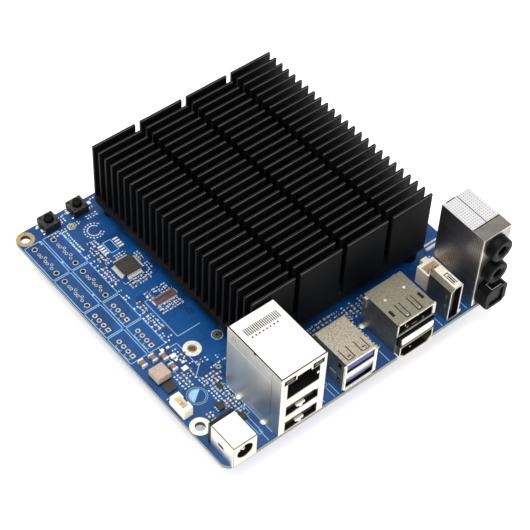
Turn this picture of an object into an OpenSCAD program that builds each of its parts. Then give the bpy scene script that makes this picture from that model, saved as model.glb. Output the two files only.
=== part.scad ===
// Fanless single board computer: a square circuit board with a tall finned
// heatsink over the processor, a row of stacked connectors along the front
// edge, two push switches at the back edge, and memory and drive sockets below.

/* [Board] */
// Width of the board along the connector edge
board_w = 120; // [118:1:130]
// Depth of the board
board_d = 120; // [118:1:130]
// Thickness of the board
board_t = 1.6; // [1.2:0.2:2]
// Corner radius of the board
corner_r = 3.6; // [2:0.2:5]
// Radius of a mounting hole
mount_r = 1.75; // [1.5:0.05:1.9]
// Distance of a mounting hole from the side and back edges
mount_inset = 3.4; // [3.2:0.1:4]
// Distance of the left front hole from the front edge
mount_left_y = 18; // [17:0.5:20]
// Distance of the right front hole from the front edge
mount_right_y = 25; // [24.5:0.5:27]

/* [Heatsink] */
// Width of the heatsink along the fins
sink_w = 77.4; // [76:0.2:78]
// Height of the heatsink's top above the board
sink_top = 32; // [24:1:40]
// Gap between the board and the heatsink's base
sink_gap = 4; // [3:0.5:5]
// Thickness of the heatsink's base
base_t = 4; // [3:0.5:6]
// Number of fins from front to back
fin_count = 25; // [15:1:25]
// Distance from one fin to the next
fin_pitch = 3.56; // [3.2:0.02:3.56]
// Thickness of a fin
fin_t = 0.9; // [0.6:0.1:1.4]
// Number of blocks that the cross slots cut the fins into
fin_blocks = 4; // [2:1:6]
// Width of a cross slot
slot_w = 2.2; // [1.5:0.1:3]

/* [Power jack] */
// Width of the power jack
dc_w = 9.4; // [9:0.1:9.8]
// Height of the power jack
dc_h = 10.1; // [9.6:0.1:11]
// Radius of the jack's opening
dc_bore_r = 3.1; // [2.9:0.1:3.3]
// Radius of the jack's centre pin
dc_pin_r = 1.05; // [0.9:0.05:1.25]

/* [Network and USB 2 stack] */
// Width of the network stack
lan_w = 18.4; // [18:0.1:18.8]
// Depth of the network stack
lan_d = 26.7; // [24:0.1:26.8]
// Height of the network stack
lan_h = 30; // [29:0.5:32]

/* [USB 3 stack] */
// Width of the USB 3 stack's shell
usb3_w = 12.6; // [12.4:0.1:13.2]
// Depth of the USB 3 stack
usb3_d = 16; // [15:0.5:17]
// Height of the USB 3 stack
usb3_h = 14.1; // [13.8:0.1:15]

/* [Stacked video ports] */
// Width of the video stack's shell
video_w = 16.1; // [16:0.1:16.6]
// Depth of the video stack
video_d = 16.8; // [15:0.1:18]
// Height of the video stack
video_h = 15.2; // [15:0.1:16]

/* [Upright video port] */
// Thickness of the upright port's shell
upright_w = 5; // [4.8:0.1:5.4]
// Depth of the upright port
upright_d = 10.6; // [10:0.1:12]
// Height of the upright port
upright_h = 16.4; // [16.2:0.1:17]

/* [Audio stack] */
// Width of the audio stack's can
audio_w = 12.3; // [12:0.1:12.6]
// Depth of the audio stack's can
audio_d = 20.3; // [18:0.1:20.8]
// Height of the audio stack's can
audio_h = 34.1; // [33.8:0.1:36]
// Outer radius of a jack's barrel
barrel_r = 4.5; // [4:0.1:4.8]
// Radius of a jack's bore
jack_bore_r = 1.8; // [1.76:0.02:1.85]
// How far a barrel stands out in front of the board
barrel_reach = 3.2; // [2:0.1:4]
// How far the optical port stands out in front of the board
optical_reach = 4.4; // [4:0.1:5]

/* [Push switches] */
// Side of a push switch's body
switch_side = 6; // [5.8:0.1:6.2]
// Height of a push switch's body
switch_h = 3.4; // [3.2:0.1:4]
// Radius of a button
button_r = 1.7; // [1.5:0.05:1.8]
// Height of a button's top above the board
button_top = 5; // [4.6:0.1:6]
// Travel of a button
button_travel = 0.25; // [0.2:0.05:0.3]

/* [Memory and drive sockets] */
// Height of the tall memory socket below the board
tall_socket_h = 9.2; // [9:0.1:9.6]
// Height of the low memory socket below the board
low_socket_h = 5.2; // [4.8:0.1:5.4]
// Length of a memory module's slot
module_w = 69.6; // [69:0.1:70]
// Length of a fitted drive, from its socket to its standoff
drive_l = 80; // [60:20:80]

/* [Hidden] */
$fn = 48;
cut = 1; // overshoot of a cutting shape past the face it opens
overlap = 0.5; // how far two joined shapes of one piece run into each other

// The board's frame: x from the left edge, y from the front edge, z from the top face.
front_reach = optical_reach;
board_top = tall_socket_h + board_t;
module at(x, y, z = 0)
    translate([x - board_w / 2, y - (board_d - front_reach) / 2, board_top + z]) children();

// A block between two limits on each axis.
module span(x, y, z)
    at(x[0], y[0], z[0]) cube([x[1] - x[0], y[1] - y[0], z[1] - z[0]]);

// Round bars along each axis.
module bar_x(x, y, z, r) at(x[0], y, z) rotate([0, 90, 0]) cylinder(h = x[1] - x[0], r = r);
module bar_y(x, y, z, r) at(x, y[0], z) rotate([-90, 0, 0]) cylinder(h = y[1] - y[0], r = r);
module bar_z(x, y, z, r) at(x, y, z[0]) cylinder(h = z[1] - z[0], r = r);

// A sheet metal cover, open below, with its cut-outs given as children.
module cover(x, y, z, t) {
    difference() {
        span(x, y, z);
        span([x[0] + t, x[1] - t], [y[0] + t, y[1] - t], [z[0] - cut, z[1] - t]);
        children();
    }
}

// A flat outline in x and z, with corners cut back by the given amounts, pushed back along y.
// The cuts run round from the lower left: lower left, lower right, upper right, upper left.
module port(x, y, z, cuts) {
    corners = [[x[0], z[0]], [x[1], z[0]], [x[1], z[1]], [x[0], z[1]]];
    outline = [for (i = [0:3]) each cuts[i] == 0 ? [corners[i]] : [
        corners[i] + cuts[i] * toward(corners[i], corners[(i + 3) % 4]),
        corners[i] + cuts[i] * toward(corners[i], corners[(i + 1) % 4])]];
    at(0, y[1], 0) rotate([90, 0, 0]) linear_extrude(y[1] - y[0]) polygon(outline);
}

function toward(a, b) = (b - a) / norm(b - a);
function grow(range, by) = [range[0] - by, range[1] + by];
function mid(range) = (range[0] + range[1]) / 2;
under = -board_t; // the board's lower face

// Mounting holes: two down each side.
mount_holes = [[mount_inset, mount_left_y], [mount_inset, board_d - mount_inset],
    [board_w - mount_inset, mount_right_y], [board_w - mount_inset, board_d - mount_inset]];

// Heatsink.
sink_d = (fin_count - 1) * fin_pitch + fin_t;
sink_x = [30.8, 30.8 + sink_w];
sink_y = [113.4 - sink_d, 113.4];
block_w = (sink_w - (fin_blocks - 1) * slot_w) / fin_blocks;
boss_inset = 4.4;
boss_r = 3.2;
screw_r = 1.4;
screw_clearance = 0.1;
screw_hole_r = 1.7;
screw_head_r = 2.6;
screw_head_h = 1.8;
screw_depth = 6;
recess_size = [3, 0.6, 1.6];
sink_screws = [for (x = [sink_x[0] + boss_inset, sink_x[1] - boss_inset])
    for (y = [30.3, sink_y[1] - boss_inset]) [x, y]];

// Processor under the heatsink's centre.
cpu_x = mid(sink_x);
cpu_y = 70;
substrate_side = 25;
substrate_z = [0.3, 0.9];
die_size = [13, 10];
die_z = [0.9, 1.5];
pad_t = 0.5;
pedestal_side = 30;

// Power jack.
dc_x = [1.9, 1.9 + dc_w];
dc_y = [-0.7, 12.1];
dc_shield_back = 10.4;
dc_axis_z = 5.6;
dc_depth = 9;
dc_window_y = [4.4, 7.2];
dc_window_z = [3.7, 5.3];
dc_pin_front = 1;
dc_spring_front = 2.2;
dc_spring_z = [4.3, 4.7];
dc_spring_reach = [0.6, 0.2]; // outward and inward of the bore's wall
dc_groove_z = [4.2, 4.8];
sheet = 0.35;

// Network and USB 2 stack.
lan_x = [20.5, 20.5 + lan_w];
lan_y = [-0.2, -0.2 + lan_d];
lan_z = [0, lan_h];
rj_x = [mid(lan_x) - 6.6, mid(lan_x) + 6.6];
rj_z = [17.9, 25.8];
rj_notch_x = [mid(lan_x) - 2.9, mid(lan_x) + 2.9];
rj_notch_z = [25.7, 27.2];
rj_depth = 13;
pipe_w = 4.3;
pipe_out = 1.3; // how far a light pipe reaches past the socket's side
pipe_z = [26.4, 27.9];
pipe_depth = 8;
usb2_w = 13.3;
usb2_h = 5.1;
usb2_low_z = 0.4;
usb2_high_z = 8.7;
usb_depth = 9.6;
tongue_t = 1.8;
tongue_rise = 1.3; // height of a USB 2 tongue above its opening's lower edge
usb2_tongue_half = 5.6;
usb2_tongue_front = 0.9;
lan_contact_pitch = 1.02;
lan_contact_w = 0.4;
lan_contact_low = [4, 5]; // front and back of a contact's root, behind the housing's front
lan_contact_high = [[10.4, 2.6], [10.6, 2.2]]; // its raised tip, as distance back and height
label_side_inset = 1.2;
label_back_inset = 3;
label_t = 0.1;

// USB 3 stack.
usb3_x = [48.6, 48.6 + usb3_w];
usb3_y = [0.4, 0.4 + usb3_d];
usb3_ports_z = [[0.5, 5.6], [8.4, 13.6]];
usb3_finger_offset = 3.1; // spring fingers in the top, either side of the middle
usb3_finger_half = 1.5;
usb3_finger_y = [1.6, 6.6];
finger_slot_w = 0.4;
usb3_flange_w = 0.9;
usb3_flange_z = [1, usb3_h - 0.8];
usb3_tongue_half = 5.2;
usb3_tongue_front = 0.4;
usb3_tongue_drop = 0.7; // distance of a tongue below its opening's upper edge
usb3_depth = 10.6;

// Stacked video ports: a wide port above and a chamfered port set into the board's edge below.
video_x = [79.75 - video_w / 2, 79.75 + video_w / 2];
video_y = [1.6, 1.6 + video_d];
video_z = [0, video_h];
upper_port_x = grow(video_x, -0.6);
upper_port_z = [9.3, 14.5];
lower_port_x = [mid(video_x) - 7.4, mid(video_x) + 7.4];
lower_port_z = [-1.9, 4.5];
lower_port_y = [-0.3, 12];
edge_notch_x = grow(lower_port_x, 0.4);
edge_notch_d = 12.4;
port_wall = 0.5;
lower_port_cuts = [2.2, 2.2, 0.4, 0.4];
lower_hole_cuts = [2, 2, 0.2, 0.2];
upper_port_cuts = [0, 0, 1, 0];
video_finger_xs = [77.3, 82.5];
video_finger_half = 0.9;
video_finger_y = [2.6, 8.8];
video_hole_xs = [73.4, 86.2];
video_hole_half = 0.6;
video_hole_y = [5.2, 8];
collar_d = 3; // length of the lower port's collar behind the shell's front
video_depth = 8;
lower_port_depth = 9.6;
lower_body_x = grow(lower_port_x, -0.2);
lower_body_top = 4.8;
tongue_front = 1.2;

// Upright video port.
upright_x = [94.9, 94.9 + upright_w];
upright_y = [0.9, 0.9 + upright_d];
upright_z = [0.1, upright_h];
upright_cuts = [0, 0, 0, 1.4];
upright_hole_cuts = [0, 0, 0, 1.2];
upright_depth = 8;
upright_slot = [0.35, 5, 2];
upright_slot_offset = 0.8;
upright_slot_y = 4;

// Audio stack.
audio_x = [105.9, 105.9 + audio_w];
audio_y = [0.3, 0.3 + audio_d];
audio_mid = mid(audio_x);
jack_z = [16.6, 28];
jack_depth = 14;
jack_tail_r = 3.4;
jack_shoulder_y = 2.3; // back of the thick part of a barrel
core_gap = 0.1;
can_slot_x = [109.6, 115];
can_slot_y = [19.6, 19.95];
optical_x = [audio_mid - 4.8, audio_mid + 4.8];
optical_z = [0.8, 10.8];
optical_hole_x = [audio_mid - 3, audio_mid + 3];
optical_hole_z = [2.3, 8.9];
optical_depth = 10;
shutter_t = 0.6;
shutter_pin_r = 0.35;
shutter_hole_r = 0.4;
shutter_y = -optical_reach + 1.1;
shutter_axis_z = 8.4;

// Push switches along the back edge.
switch_xs = [13.5, 25.5];
switch_y = board_d - switch_side / 2 - 0.1;
cover_t = 0.3;
well_r = 2.3;
button_flange_h = 0.7;
button_gap = 0.1;
button_edge = 0.3; // bevel round a button's top
dome_h = 0.85; // room for the spring dome under a button
well_floor = switch_h - cover_t - button_gap - button_flange_h - button_travel - dome_h;
switch_lift = 0.1;
switch_leg_y = 2.2;
switch_leg_half = 0.35;
switch_foot = 0.9;
switch_leg_t = 0.25;
switch_leg_h = 1.4;

// Through-board legs of the connectors' shields.
leg_r = 0.6;
leg_hole_r = 0.65;
leg_tail = 1.1;
leg_spots = concat(
    [for (x = lan_x) for (y = [7.1, 19.7]) [x + (x < mid(lan_x) ? 0.8 : -0.8), y]],
    [for (x = usb3_x) for (y = [5, 12.5]) [x + (x < mid(usb3_x) ? 0.8 : -0.8), y]],
    [for (x = video_x) [x + (x < mid(video_x) ? 0.7 : -0.7), 15.2]],
    [for (y = [3.2, 9.5]) [mid(upright_x), y]],
    [for (x = audio_x) for (y = [3, 17.5]) [x + (x < audio_mid ? 0.8 : -0.8), y]],
    [for (y = [3.5, 9.4]) [mid(dc_x), y]]);

// Unfitted drive connectors on the left: the locating holes of four data connectors.
peg_r = 0.75;
peg_holes = [for (spot = [[3.3, 97.7], [11.05, 97.5], [3.4, 79.9], [10.9, 79.8]])
    for (y = [0, 13.1]) [spot[0], spot[1] + y]];

// Small parts on the board's upper face, each given by its centre and its size.
chip_lift = 0.05;
io_chip_at = [24.2, 85.2];
io_chip_size = [7, 7, 1.4];
io_chip_lift = 0.1;
io_lead_pitch = 0.5;
io_leads_per_side = 12;
io_lead_w = 0.22;
io_lead_outline = [[0, 0.7], [0.3, 0.7], [0.5, 0.15], [1, 0.15], [1, 0], [0.35, 0], [0.2, 0.55], [0, 0.55]];
storage_at = [26.1, 66.8];
storage_size = [8.6, 2.6, 0.9];
storage_slot = [7.4, 1.2, 1];
storage_floor = 0.35;
inductor_at = [4.9, 41.2];
inductor_size = [5.6, 5.6, 3.6];
regulator_at = [4.8, 36];
regulator_size = [4, 4, 0.9];
capacitor_spots = [[3.4, 48.6], [7.4, 48.3], [10.6, 46.6], [10.4, 41.5]];
capacitor_size = [2.5, 3.2, 1.6];

// Battery header, with a well and a mouth toward the right.
battery_at = [2.6, 26.8];
battery_size = [3.6, 7.6, 4.4];
battery_well = [2.4, 4.8, 4];
battery_mouth = [1.4, 2.2, 4];
battery_mouth_x = 4.6;
battery_floor = 1.2;

// Fan header, with four pins and a key slot in its front wall.
fan_x = [98.2, 105.6];
fan_y = [14.8, 20.4];
fan_h = 8;
fan_wall = 0.8;
fan_lobe_x = [101.4, 104.2]; // polarising lobe on the back wall
fan_lobe_back = 22.2;
fan_back_wall = 1.4;
fan_floor = 2;
fan_key_half = 1.6;
fan_key_z = 4;
fan_pin_pitch = 1.5;
fan_pin_y = [17.05, 17.55];
fan_pin_half = 0.25;
fan_pin_top = 6.8;

// Chips below the board: centre, width and depth.
lower_chips = [[30, 14, 7, 7], [112, 34, 6, 6], [14, 60, 6, 5], [18, 28, 5, 5]];
lower_chip_h = 0.9;

// Memory sockets below the board, opening toward the back.
memory_mid = 65;
memory_half = module_w / 2;
tall_bar_y = [56.4, 63.4];
tall_arm_back = 86;
low_bar_y = [65.6, 71.6];
low_arm_back = 92;
arm_w = 1.5;
tall_arm_offset = 6.4;
low_arm_offset = 1.6;
slot_t = 1.4;
slot_depth = 3.4;
latch_t = 0.5;
latch_gap = 0.35;
latch_hook = 1.3;
latch_pin_r = 0.5;
latch_root = 2;
latch_hook_t = 0.7;
latch_lift = 0.3; // height of a hook's lower face above the socket's
latch_gap_z = 0.15;
hook_gap = 0.4;
hook_w = 2;
lug_t = 1.2;
lug_rim = 0.6; // plastic round a latch's pin
arm_lift = 0.6;
pin_gap = 0.05;

// Drive socket and its standoff.
drive_y = 44.1;
standoff_x = 20.3;
standoff_r = 2.6;
standoff_bore_r = 1.05;
standoff_neck_r = 1.5;
standoff_h = 2.6;
drive_socket_x = [standoff_x + drive_l, standoff_x + drive_l + 8];
drive_socket_half = 11;
drive_socket_h = 4.2;
drive_slot_half = 9.9;
drive_slot_depth = 5;
drive_slot_z = [under - 3.4, under - 2.3];

module board() {
    r = corner_r;
    color("royalblue") difference() {
        union() {
            span([r, board_w - r], [0, board_d], [under, 0]);
            span([0, board_w], [r, board_d - r], [under, 0]);
            for (x = [r, board_w - r], y = [r, board_d - r]) bar_z(x, y, [under, 0], r);
        }
        for (p = mount_holes) bar_z(p[0], p[1], grow([under, 0], cut), mount_r);
        for (p = sink_screws) bar_z(p[0], p[1], grow([under, 0], cut), screw_hole_r);
        for (p = leg_spots) bar_z(p[0], p[1], grow([under, 0], cut), leg_hole_r);
        for (p = peg_holes) bar_z(p[0], p[1], grow([under, 0], cut), peg_r);
        bar_z(standoff_x, drive_y, grow([under, 0], cut), standoff_neck_r);
        span(edge_notch_x, [-cut, edge_notch_d], grow([under, 0], cut));
    }
}

module heatsink() {
    base_top = sink_gap + base_t;
    half = pedestal_side / 2;
    color("#26272a") difference() {
        union() {
            span(sink_x, sink_y, [sink_gap, base_top]);
            for (i = [0:fin_count - 1], j = [0:fin_blocks - 1]) {
                x = sink_x[0] + j * (block_w + slot_w);
                y = sink_y[0] + i * fin_pitch;
                span([x, x + block_w], [y, y + fin_t], [base_top - overlap, sink_top]);
            }
            span([cpu_x - half, cpu_x + half], [cpu_y - half, cpu_y + half],
                [die_z[1] + pad_t, sink_gap + overlap]);
            for (p = sink_screws) bar_z(p[0], p[1], [0, sink_gap + overlap], boss_r);
        }
        for (p = sink_screws) bar_z(p[0], p[1], [-cut, screw_depth], screw_r + screw_clearance);
    }
}

module heatsink_screws() {
    shank_z = [under - 0.2, screw_depth - 0.4];
    color("silver") for (p = sink_screws) {
        bar_z(p[0], p[1], shank_z, screw_r);
        difference() {
            bar_z(p[0], p[1], [under - screw_head_h, under], screw_head_r);
            for (turn = [0, 90])
                at(p[0], p[1], under - screw_head_h) rotate(turn) cube(recess_size, center = true);
        }
    }
}

module processor_substrate() {
    s = substrate_side / 2;
    color("seagreen") span([cpu_x - s, cpu_x + s], [cpu_y - s, cpu_y + s], substrate_z);
}

module die_outline(z)
    span([cpu_x - die_size[0] / 2, cpu_x + die_size[0] / 2],
        [cpu_y - die_size[1] / 2, cpu_y + die_size[1] / 2], z);

module processor_die() {
    color("slategray") die_outline(die_z);
}

module thermal_pad() {
    color("lightgray") die_outline([die_z[1], die_z[1] + pad_t]);
}

module dc_jack_shield() {
    color("silver") difference() {
        cover(dc_x, [dc_y[0], dc_shield_back + sheet], [0, dc_h], sheet);
        bar_y(mid(dc_x), [dc_y[0] - cut, dc_y[0] + 2], dc_axis_z, dc_bore_r);
        span(grow(dc_x, -sheet), [dc_shield_back - cut, dc_shield_back + cut], [-cut, dc_h - sheet]);
        span(grow(dc_x, cut), dc_window_y, dc_window_z);
    }
}

module dc_jack_body() {
    inner = grow(dc_x, -sheet);
    bore_y = [dc_y[0] - cut, dc_y[0] + dc_depth];
    color("#202020") difference() {
        union() {
            span(inner, [dc_y[0] + sheet, dc_y[1]], [0, dc_h - sheet]);
            span(dc_x, [dc_shield_back + sheet, dc_y[1]], [0, dc_h]);
        }
        bar_y(mid(dc_x), bore_y, dc_axis_z, dc_bore_r);
        span([mid(dc_x) - dc_bore_r - 0.7, mid(dc_x)], [dc_spring_front - 0.2, bore_y[1]], dc_groove_z);
    }
}

module dc_jack_pin() {
    color("silver") {
        bar_y(mid(dc_x), [dc_pin_front, dc_y[0] + dc_depth], dc_axis_z, dc_pin_r);
        at(mid(dc_x), dc_pin_front, dc_axis_z) sphere(r = dc_pin_r);
    }
}

module dc_jack_spring() {
    wall = mid(dc_x) - dc_bore_r;
    color("silver") span([wall - dc_spring_reach[0], wall + dc_spring_reach[1]],
        [dc_spring_front, dc_y[0] + dc_depth - 0.2], dc_spring_z);
}

module lan_shield() {
    color("gainsboro") cover(lan_x, lan_y, lan_z, sheet) {
        front = [lan_y[0] - cut, lan_y[0] + 2 * sheet];
        span(rj_x, front, rj_z);
        span(rj_notch_x, front, rj_notch_z);
        for (x = pipe_spans()) span(x, front, pipe_z);
        for (z = [usb2_low_z, usb2_high_z]) span(usb2_span(), front, [z, z + usb2_h]);
    }
}

function pipe_spans() = [for (x = [rj_x[0] - pipe_out, rj_x[1] + pipe_out - pipe_w]) [x, x + pipe_w]];
function usb2_span() = [mid(lan_x) - usb2_w / 2, mid(lan_x) + usb2_w / 2];

module lan_housing() {
    front = lan_y[0] + sheet;
    color("#1b1b1d") difference() {
        span(grow(lan_x, -sheet), [front, lan_y[1] - sheet], [0, lan_h - sheet]);
        span(rj_x, [front - cut, front + rj_depth], rj_z);
        span(rj_notch_x, [front - cut, front + rj_depth - 4], rj_notch_z);
        for (x = pipe_spans()) span(x, [front - cut, front + pipe_depth], pipe_z);
        for (z = [usb2_low_z, usb2_high_z])
            span(usb2_span(), [front - cut, front + usb_depth], [z, z + usb2_h]);
    }
}

module lan_contacts() {
    front = lan_y[0] + sheet;
    low = rj_z[0];
    tip = lan_contact_high;
    outline = [[low, front + lan_contact_low[0]], [low + tip[0][1], front + tip[0][0]],
        [low + tip[1][1], front + tip[1][0]], [low, front + lan_contact_low[1]]];
    color("gold") for (i = [0:7]) {
        x = mid(lan_x) + (i - 3.5) * lan_contact_pitch;
        at(x + lan_contact_w / 2, 0, 0) rotate([0, -90, 0]) linear_extrude(lan_contact_w) polygon(outline);
    }
}

module lan_light_pipes() {
    front = lan_y[0] + sheet;
    color("honeydew") for (x = pipe_spans()) span(x, [lan_y[0], front + pipe_depth], pipe_z);
}

module lan_label() {
    color("white") span(grow(lan_x, -label_side_inset),
        [lan_y[0] + label_side_inset, lan_y[1] - label_back_inset], [lan_h, lan_h + label_t]);
}

module usb2_tongue(z) {
    x = mid(lan_x);
    low = z + tongue_rise;
    color("#1c1c1e") span([x - usb2_tongue_half, x + usb2_tongue_half],
        [usb2_tongue_front, lan_y[0] + sheet + usb_depth], [low, low + tongue_t]);
}

module usb2_upper_tongue() usb2_tongue(usb2_high_z);
module usb2_lower_tongue() usb2_tongue(usb2_low_z);

module usb3_shell() {
    color("silver") {
        cover(usb3_x, usb3_y, [0, usb3_h], sheet) {
            for (z = usb3_ports_z) span(grow(usb3_x, -sheet - 0.1), grow([usb3_y[0], usb3_y[0]], cut), z);
            for (finger = [-usb3_finger_offset, usb3_finger_offset], side = [-1, 1])
                finger_slot(mid(usb3_x) + finger + side * usb3_finger_half, usb3_finger_y, usb3_h);
        }
        for (x = [[usb3_x[0] - usb3_flange_w, usb3_x[0]], [usb3_x[1], usb3_x[1] + usb3_flange_w]])
            span(x, [usb3_y[0], usb3_y[0] + sheet], usb3_flange_z);
    }
}

// A cut beside a spring finger in a shell's top.
module finger_slot(x, y, top)
    span([x - finger_slot_w / 2, x + finger_slot_w / 2], y, [top - 1, top + cut]);

module usb3_housing() {
    color("#1d1d20") difference() {
        span(grow(usb3_x, -sheet), [usb3_y[0] + sheet, usb3_y[1] - sheet], [0, usb3_h - sheet]);
        for (z = usb3_ports_z)
            span(grow(usb3_x, -sheet - 0.3), [usb3_y[0] - cut, usb3_y[0] + usb3_depth], z);
    }
}

module usb3_tongue(z) {
    x = mid(usb3_x);
    top = z[1] - usb3_tongue_drop;
    color("royalblue") span([x - usb3_tongue_half, x + usb3_tongue_half],
        [usb3_y[0] + usb3_tongue_front, usb3_y[0] + usb3_depth], [top - tongue_t, top]);
}

module usb3_upper_tongue() usb3_tongue(usb3_ports_z[1]);
module usb3_lower_tongue() usb3_tongue(usb3_ports_z[0]);

module video_shell() {
    front = grow([video_y[0], video_y[0]], cut);
    collar = [lower_port_y[0], video_y[0] + collar_d];
    hole_x = grow(lower_port_x, -port_wall);
    hole_z = grow(lower_port_z, -port_wall);
    color("silver") {
        cover(video_x, video_y, video_z, sheet) {
            port(upper_port_x, front, upper_port_z, upper_port_cuts);
            port(hole_x, front, hole_z, [1.8, 1.8, 0, 0]);
            for (x = video_finger_xs, side = [-1, 1])
                finger_slot(x + side * video_finger_half, video_finger_y, video_h);
            for (x = video_hole_xs)
                span([x - video_hole_half, x + video_hole_half], video_hole_y, [video_h - 1, video_h + cut]);
        }
        difference() {
            port(lower_port_x, collar, lower_port_z, lower_port_cuts);
            port(hole_x, grow(collar, cut), hole_z, lower_hole_cuts);
        }
    }
}

module video_housing() {
    inner = grow(video_x, -sheet);
    lower_y = [video_y[0] + collar_d + 0.1, lower_port_y[1]];
    color("#1a1a1c") difference() {
        union() {
            span(inner, [video_y[0] + sheet, video_y[1] - sheet], [lower_port_z[1] + 0.3, video_h - sheet]);
            span(inner, [lower_port_y[1] + 1, video_y[1] - sheet], [0, lower_port_z[1] + 1]);
            span(lower_body_x, lower_y, [lower_port_z[0] + 0.2, lower_body_top]);
            span(lower_body_x, [lower_port_y[1] - 1, lower_port_y[1] + 2], [0, lower_body_top]);
        }
        port(upper_port_x, [video_y[0] - cut, video_y[0] + video_depth], upper_port_z, upper_port_cuts);
        port(grow(lower_port_x, -port_wall), [lower_port_y[0], lower_port_y[0] + lower_port_depth],
            grow(lower_port_z, -port_wall), lower_hole_cuts);
    }
}

module video_upper_tongue() {
    color("#2b2b2e") span(grow(upper_port_x, -1.8), [video_y[0] + tongue_front, video_y[0] + video_depth],
        grow([mid(upper_port_z), mid(upper_port_z)], 0.7));
}

module video_lower_tongue() {
    color("#2b2b2e") span(grow(lower_port_x, -2),
        [lower_port_y[0] + tongue_front, lower_port_y[0] + lower_port_depth],
        [mid(lower_port_z) - 0.4, mid(lower_port_z) + 0.9]);
}

module upright_shell() {
    color("silver") difference() {
        port(upright_x, upright_y, upright_z, upright_cuts);
        port(grow(upright_x, -sheet), [upright_y[0] - cut, upright_y[1] - sheet],
            grow(upright_z, -sheet), upright_hole_cuts);
        for (side = [-1, 1])
            at(mid(upright_x) + side * upright_slot_offset, upright_y[0] + upright_slot_y, upright_h)
                cube(upright_slot, center = true);
    }
}

module upright_housing() {
    color("#1a1a1c") port(grow(upright_x, -sheet), [upright_y[0] + upright_depth, upright_y[1] - sheet],
        grow(upright_z, -sheet), upright_hole_cuts);
}

module upright_tongue() {
    x = mid(upright_x);
    color("#2b2b2e") span([x - 0.7, x + 0.7], [upright_y[0] + tongue_front, upright_y[0] + upright_depth],
        grow(upright_z, -2.2));
}

module audio_can() {
    front = grow([audio_y[0], audio_y[0]], cut);
    color("lightgray") cover(audio_x, audio_y, [0, audio_h], sheet) {
        for (z = jack_z) bar_y(audio_mid, front, z, barrel_r + 0.05);
        span(grow(optical_x, 0.05), front, grow(optical_z, 0.05));
        span(can_slot_x, can_slot_y, [audio_h - 1, audio_h + cut]);
    }
}

module audio_core() {
    front = audio_y[0] + sheet;
    gap = core_gap;
    color("#222225") difference() {
        span(grow(audio_x, -sheet - gap), [front + gap, audio_y[1] - sheet - gap],
            [0, audio_h - sheet - gap]);
        for (z = jack_z) {
            bar_y(audio_mid, [front - cut, jack_shoulder_y + gap], z, barrel_r + gap);
            bar_y(audio_mid, [1, jack_depth], z, jack_tail_r + gap);
        }
        span(grow(optical_x, gap), [front - cut, optical_depth + gap], grow(optical_z, gap));
    }
}

module jack(z) {
    color("#151517") difference() {
        union() {
            bar_y(audio_mid, [-barrel_reach, jack_shoulder_y], z, barrel_r);
            bar_y(audio_mid, [jack_shoulder_y - 0.3, jack_depth - core_gap], z, jack_tail_r);
        }
        bar_y(audio_mid, [-barrel_reach - cut, jack_depth - 1.2], z, jack_bore_r);
    }
}

module upper_jack() jack(jack_z[1]);
module lower_jack() jack(jack_z[0]);

module optical_port() {
    y = [-optical_reach, optical_depth];
    color("#17171a") difference() {
        port(optical_x, y, optical_z, [1.6, 1.6, 1.6, 1.6]);
        span(optical_hole_x, [y[0] - cut, y[1] - 1.5], optical_hole_z);
        bar_x(grow(optical_hole_x, 0.9), shutter_y, shutter_axis_z, shutter_hole_r);
    }
}

module optical_shutter() {
    gap = 0.15;
    x = grow(optical_hole_x, -gap);
    color("#2a2a2d") {
        span(x, [shutter_y - shutter_t / 2, shutter_y + shutter_t / 2],
            [optical_hole_z[0] + gap, shutter_axis_z]);
        bar_x(grow(optical_hole_x, 0.8), shutter_y, shutter_axis_z, shutter_pin_r);
    }
}

module switch_base(x) {
    s = switch_side / 2;
    color("#1c1c1e") difference() {
        span([x - s, x + s], [switch_y - s, switch_y + s], [switch_lift, switch_h - cover_t]);
        bar_z(x, switch_y, [well_floor, switch_h], well_r);
    }
}

module switch_cover(x) {
    s = switch_side / 2;
    z = [switch_h - cover_t, switch_h];
    color("silver") difference() {
        span([x - s, x + s], [switch_y - s, switch_y + s], z);
        bar_z(x, switch_y, grow(z, cut), button_r + button_gap);
    }
}

module button(x) {
    flange_top = switch_h - cover_t - button_gap;
    edge_z = button_top - button_edge;
    color("#161618") {
        bar_z(x, switch_y, [flange_top - 0.1, edge_z], button_r);
        at(x, switch_y, edge_z) cylinder(h = button_edge, r1 = button_r, r2 = button_r - button_edge);
        bar_z(x, switch_y, [flange_top - button_flange_h, flange_top], well_r - button_gap);
    }
}

module power_switch_base() switch_base(switch_xs[0]);
module power_switch_cover() switch_cover(switch_xs[0]);
module power_button() button(switch_xs[0]);
module reset_switch_base() switch_base(switch_xs[1]);
module reset_switch_cover() switch_cover(switch_xs[1]);
module reset_button() button(switch_xs[1]);

module switch_legs() {
    color("silver") for (x = switch_xs, side = [-1, 1], leg = [-switch_leg_y, switch_leg_y]) {
        edge = x + side * switch_side / 2;
        foot = edge + side * switch_foot;
        skin = edge + side * switch_leg_t;
        y = [switch_y + leg - switch_leg_half, switch_y + leg + switch_leg_half];
        span([min(edge, foot), max(edge, foot)], y, [0, switch_leg_t]);
        span([min(edge, skin), max(edge, skin)], y, [0.2, switch_leg_h]);
    }
}

module shield_legs() {
    color("silver") for (p = leg_spots) bar_z(p[0], p[1], [under - leg_tail, 0], leg_r);
}

// A flat packaged chip of the given size, centred on a point, with its lower face at z.
module chip(centre, size, z = chip_lift)
    span([centre[0] - size[0] / 2, centre[0] + size[0] / 2],
        [centre[1] - size[1] / 2, centre[1] + size[1] / 2], [z, z + size[2]]);

module io_chip() {
    color("dimgray") chip(io_chip_at, io_chip_size, io_chip_lift);
}

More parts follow.
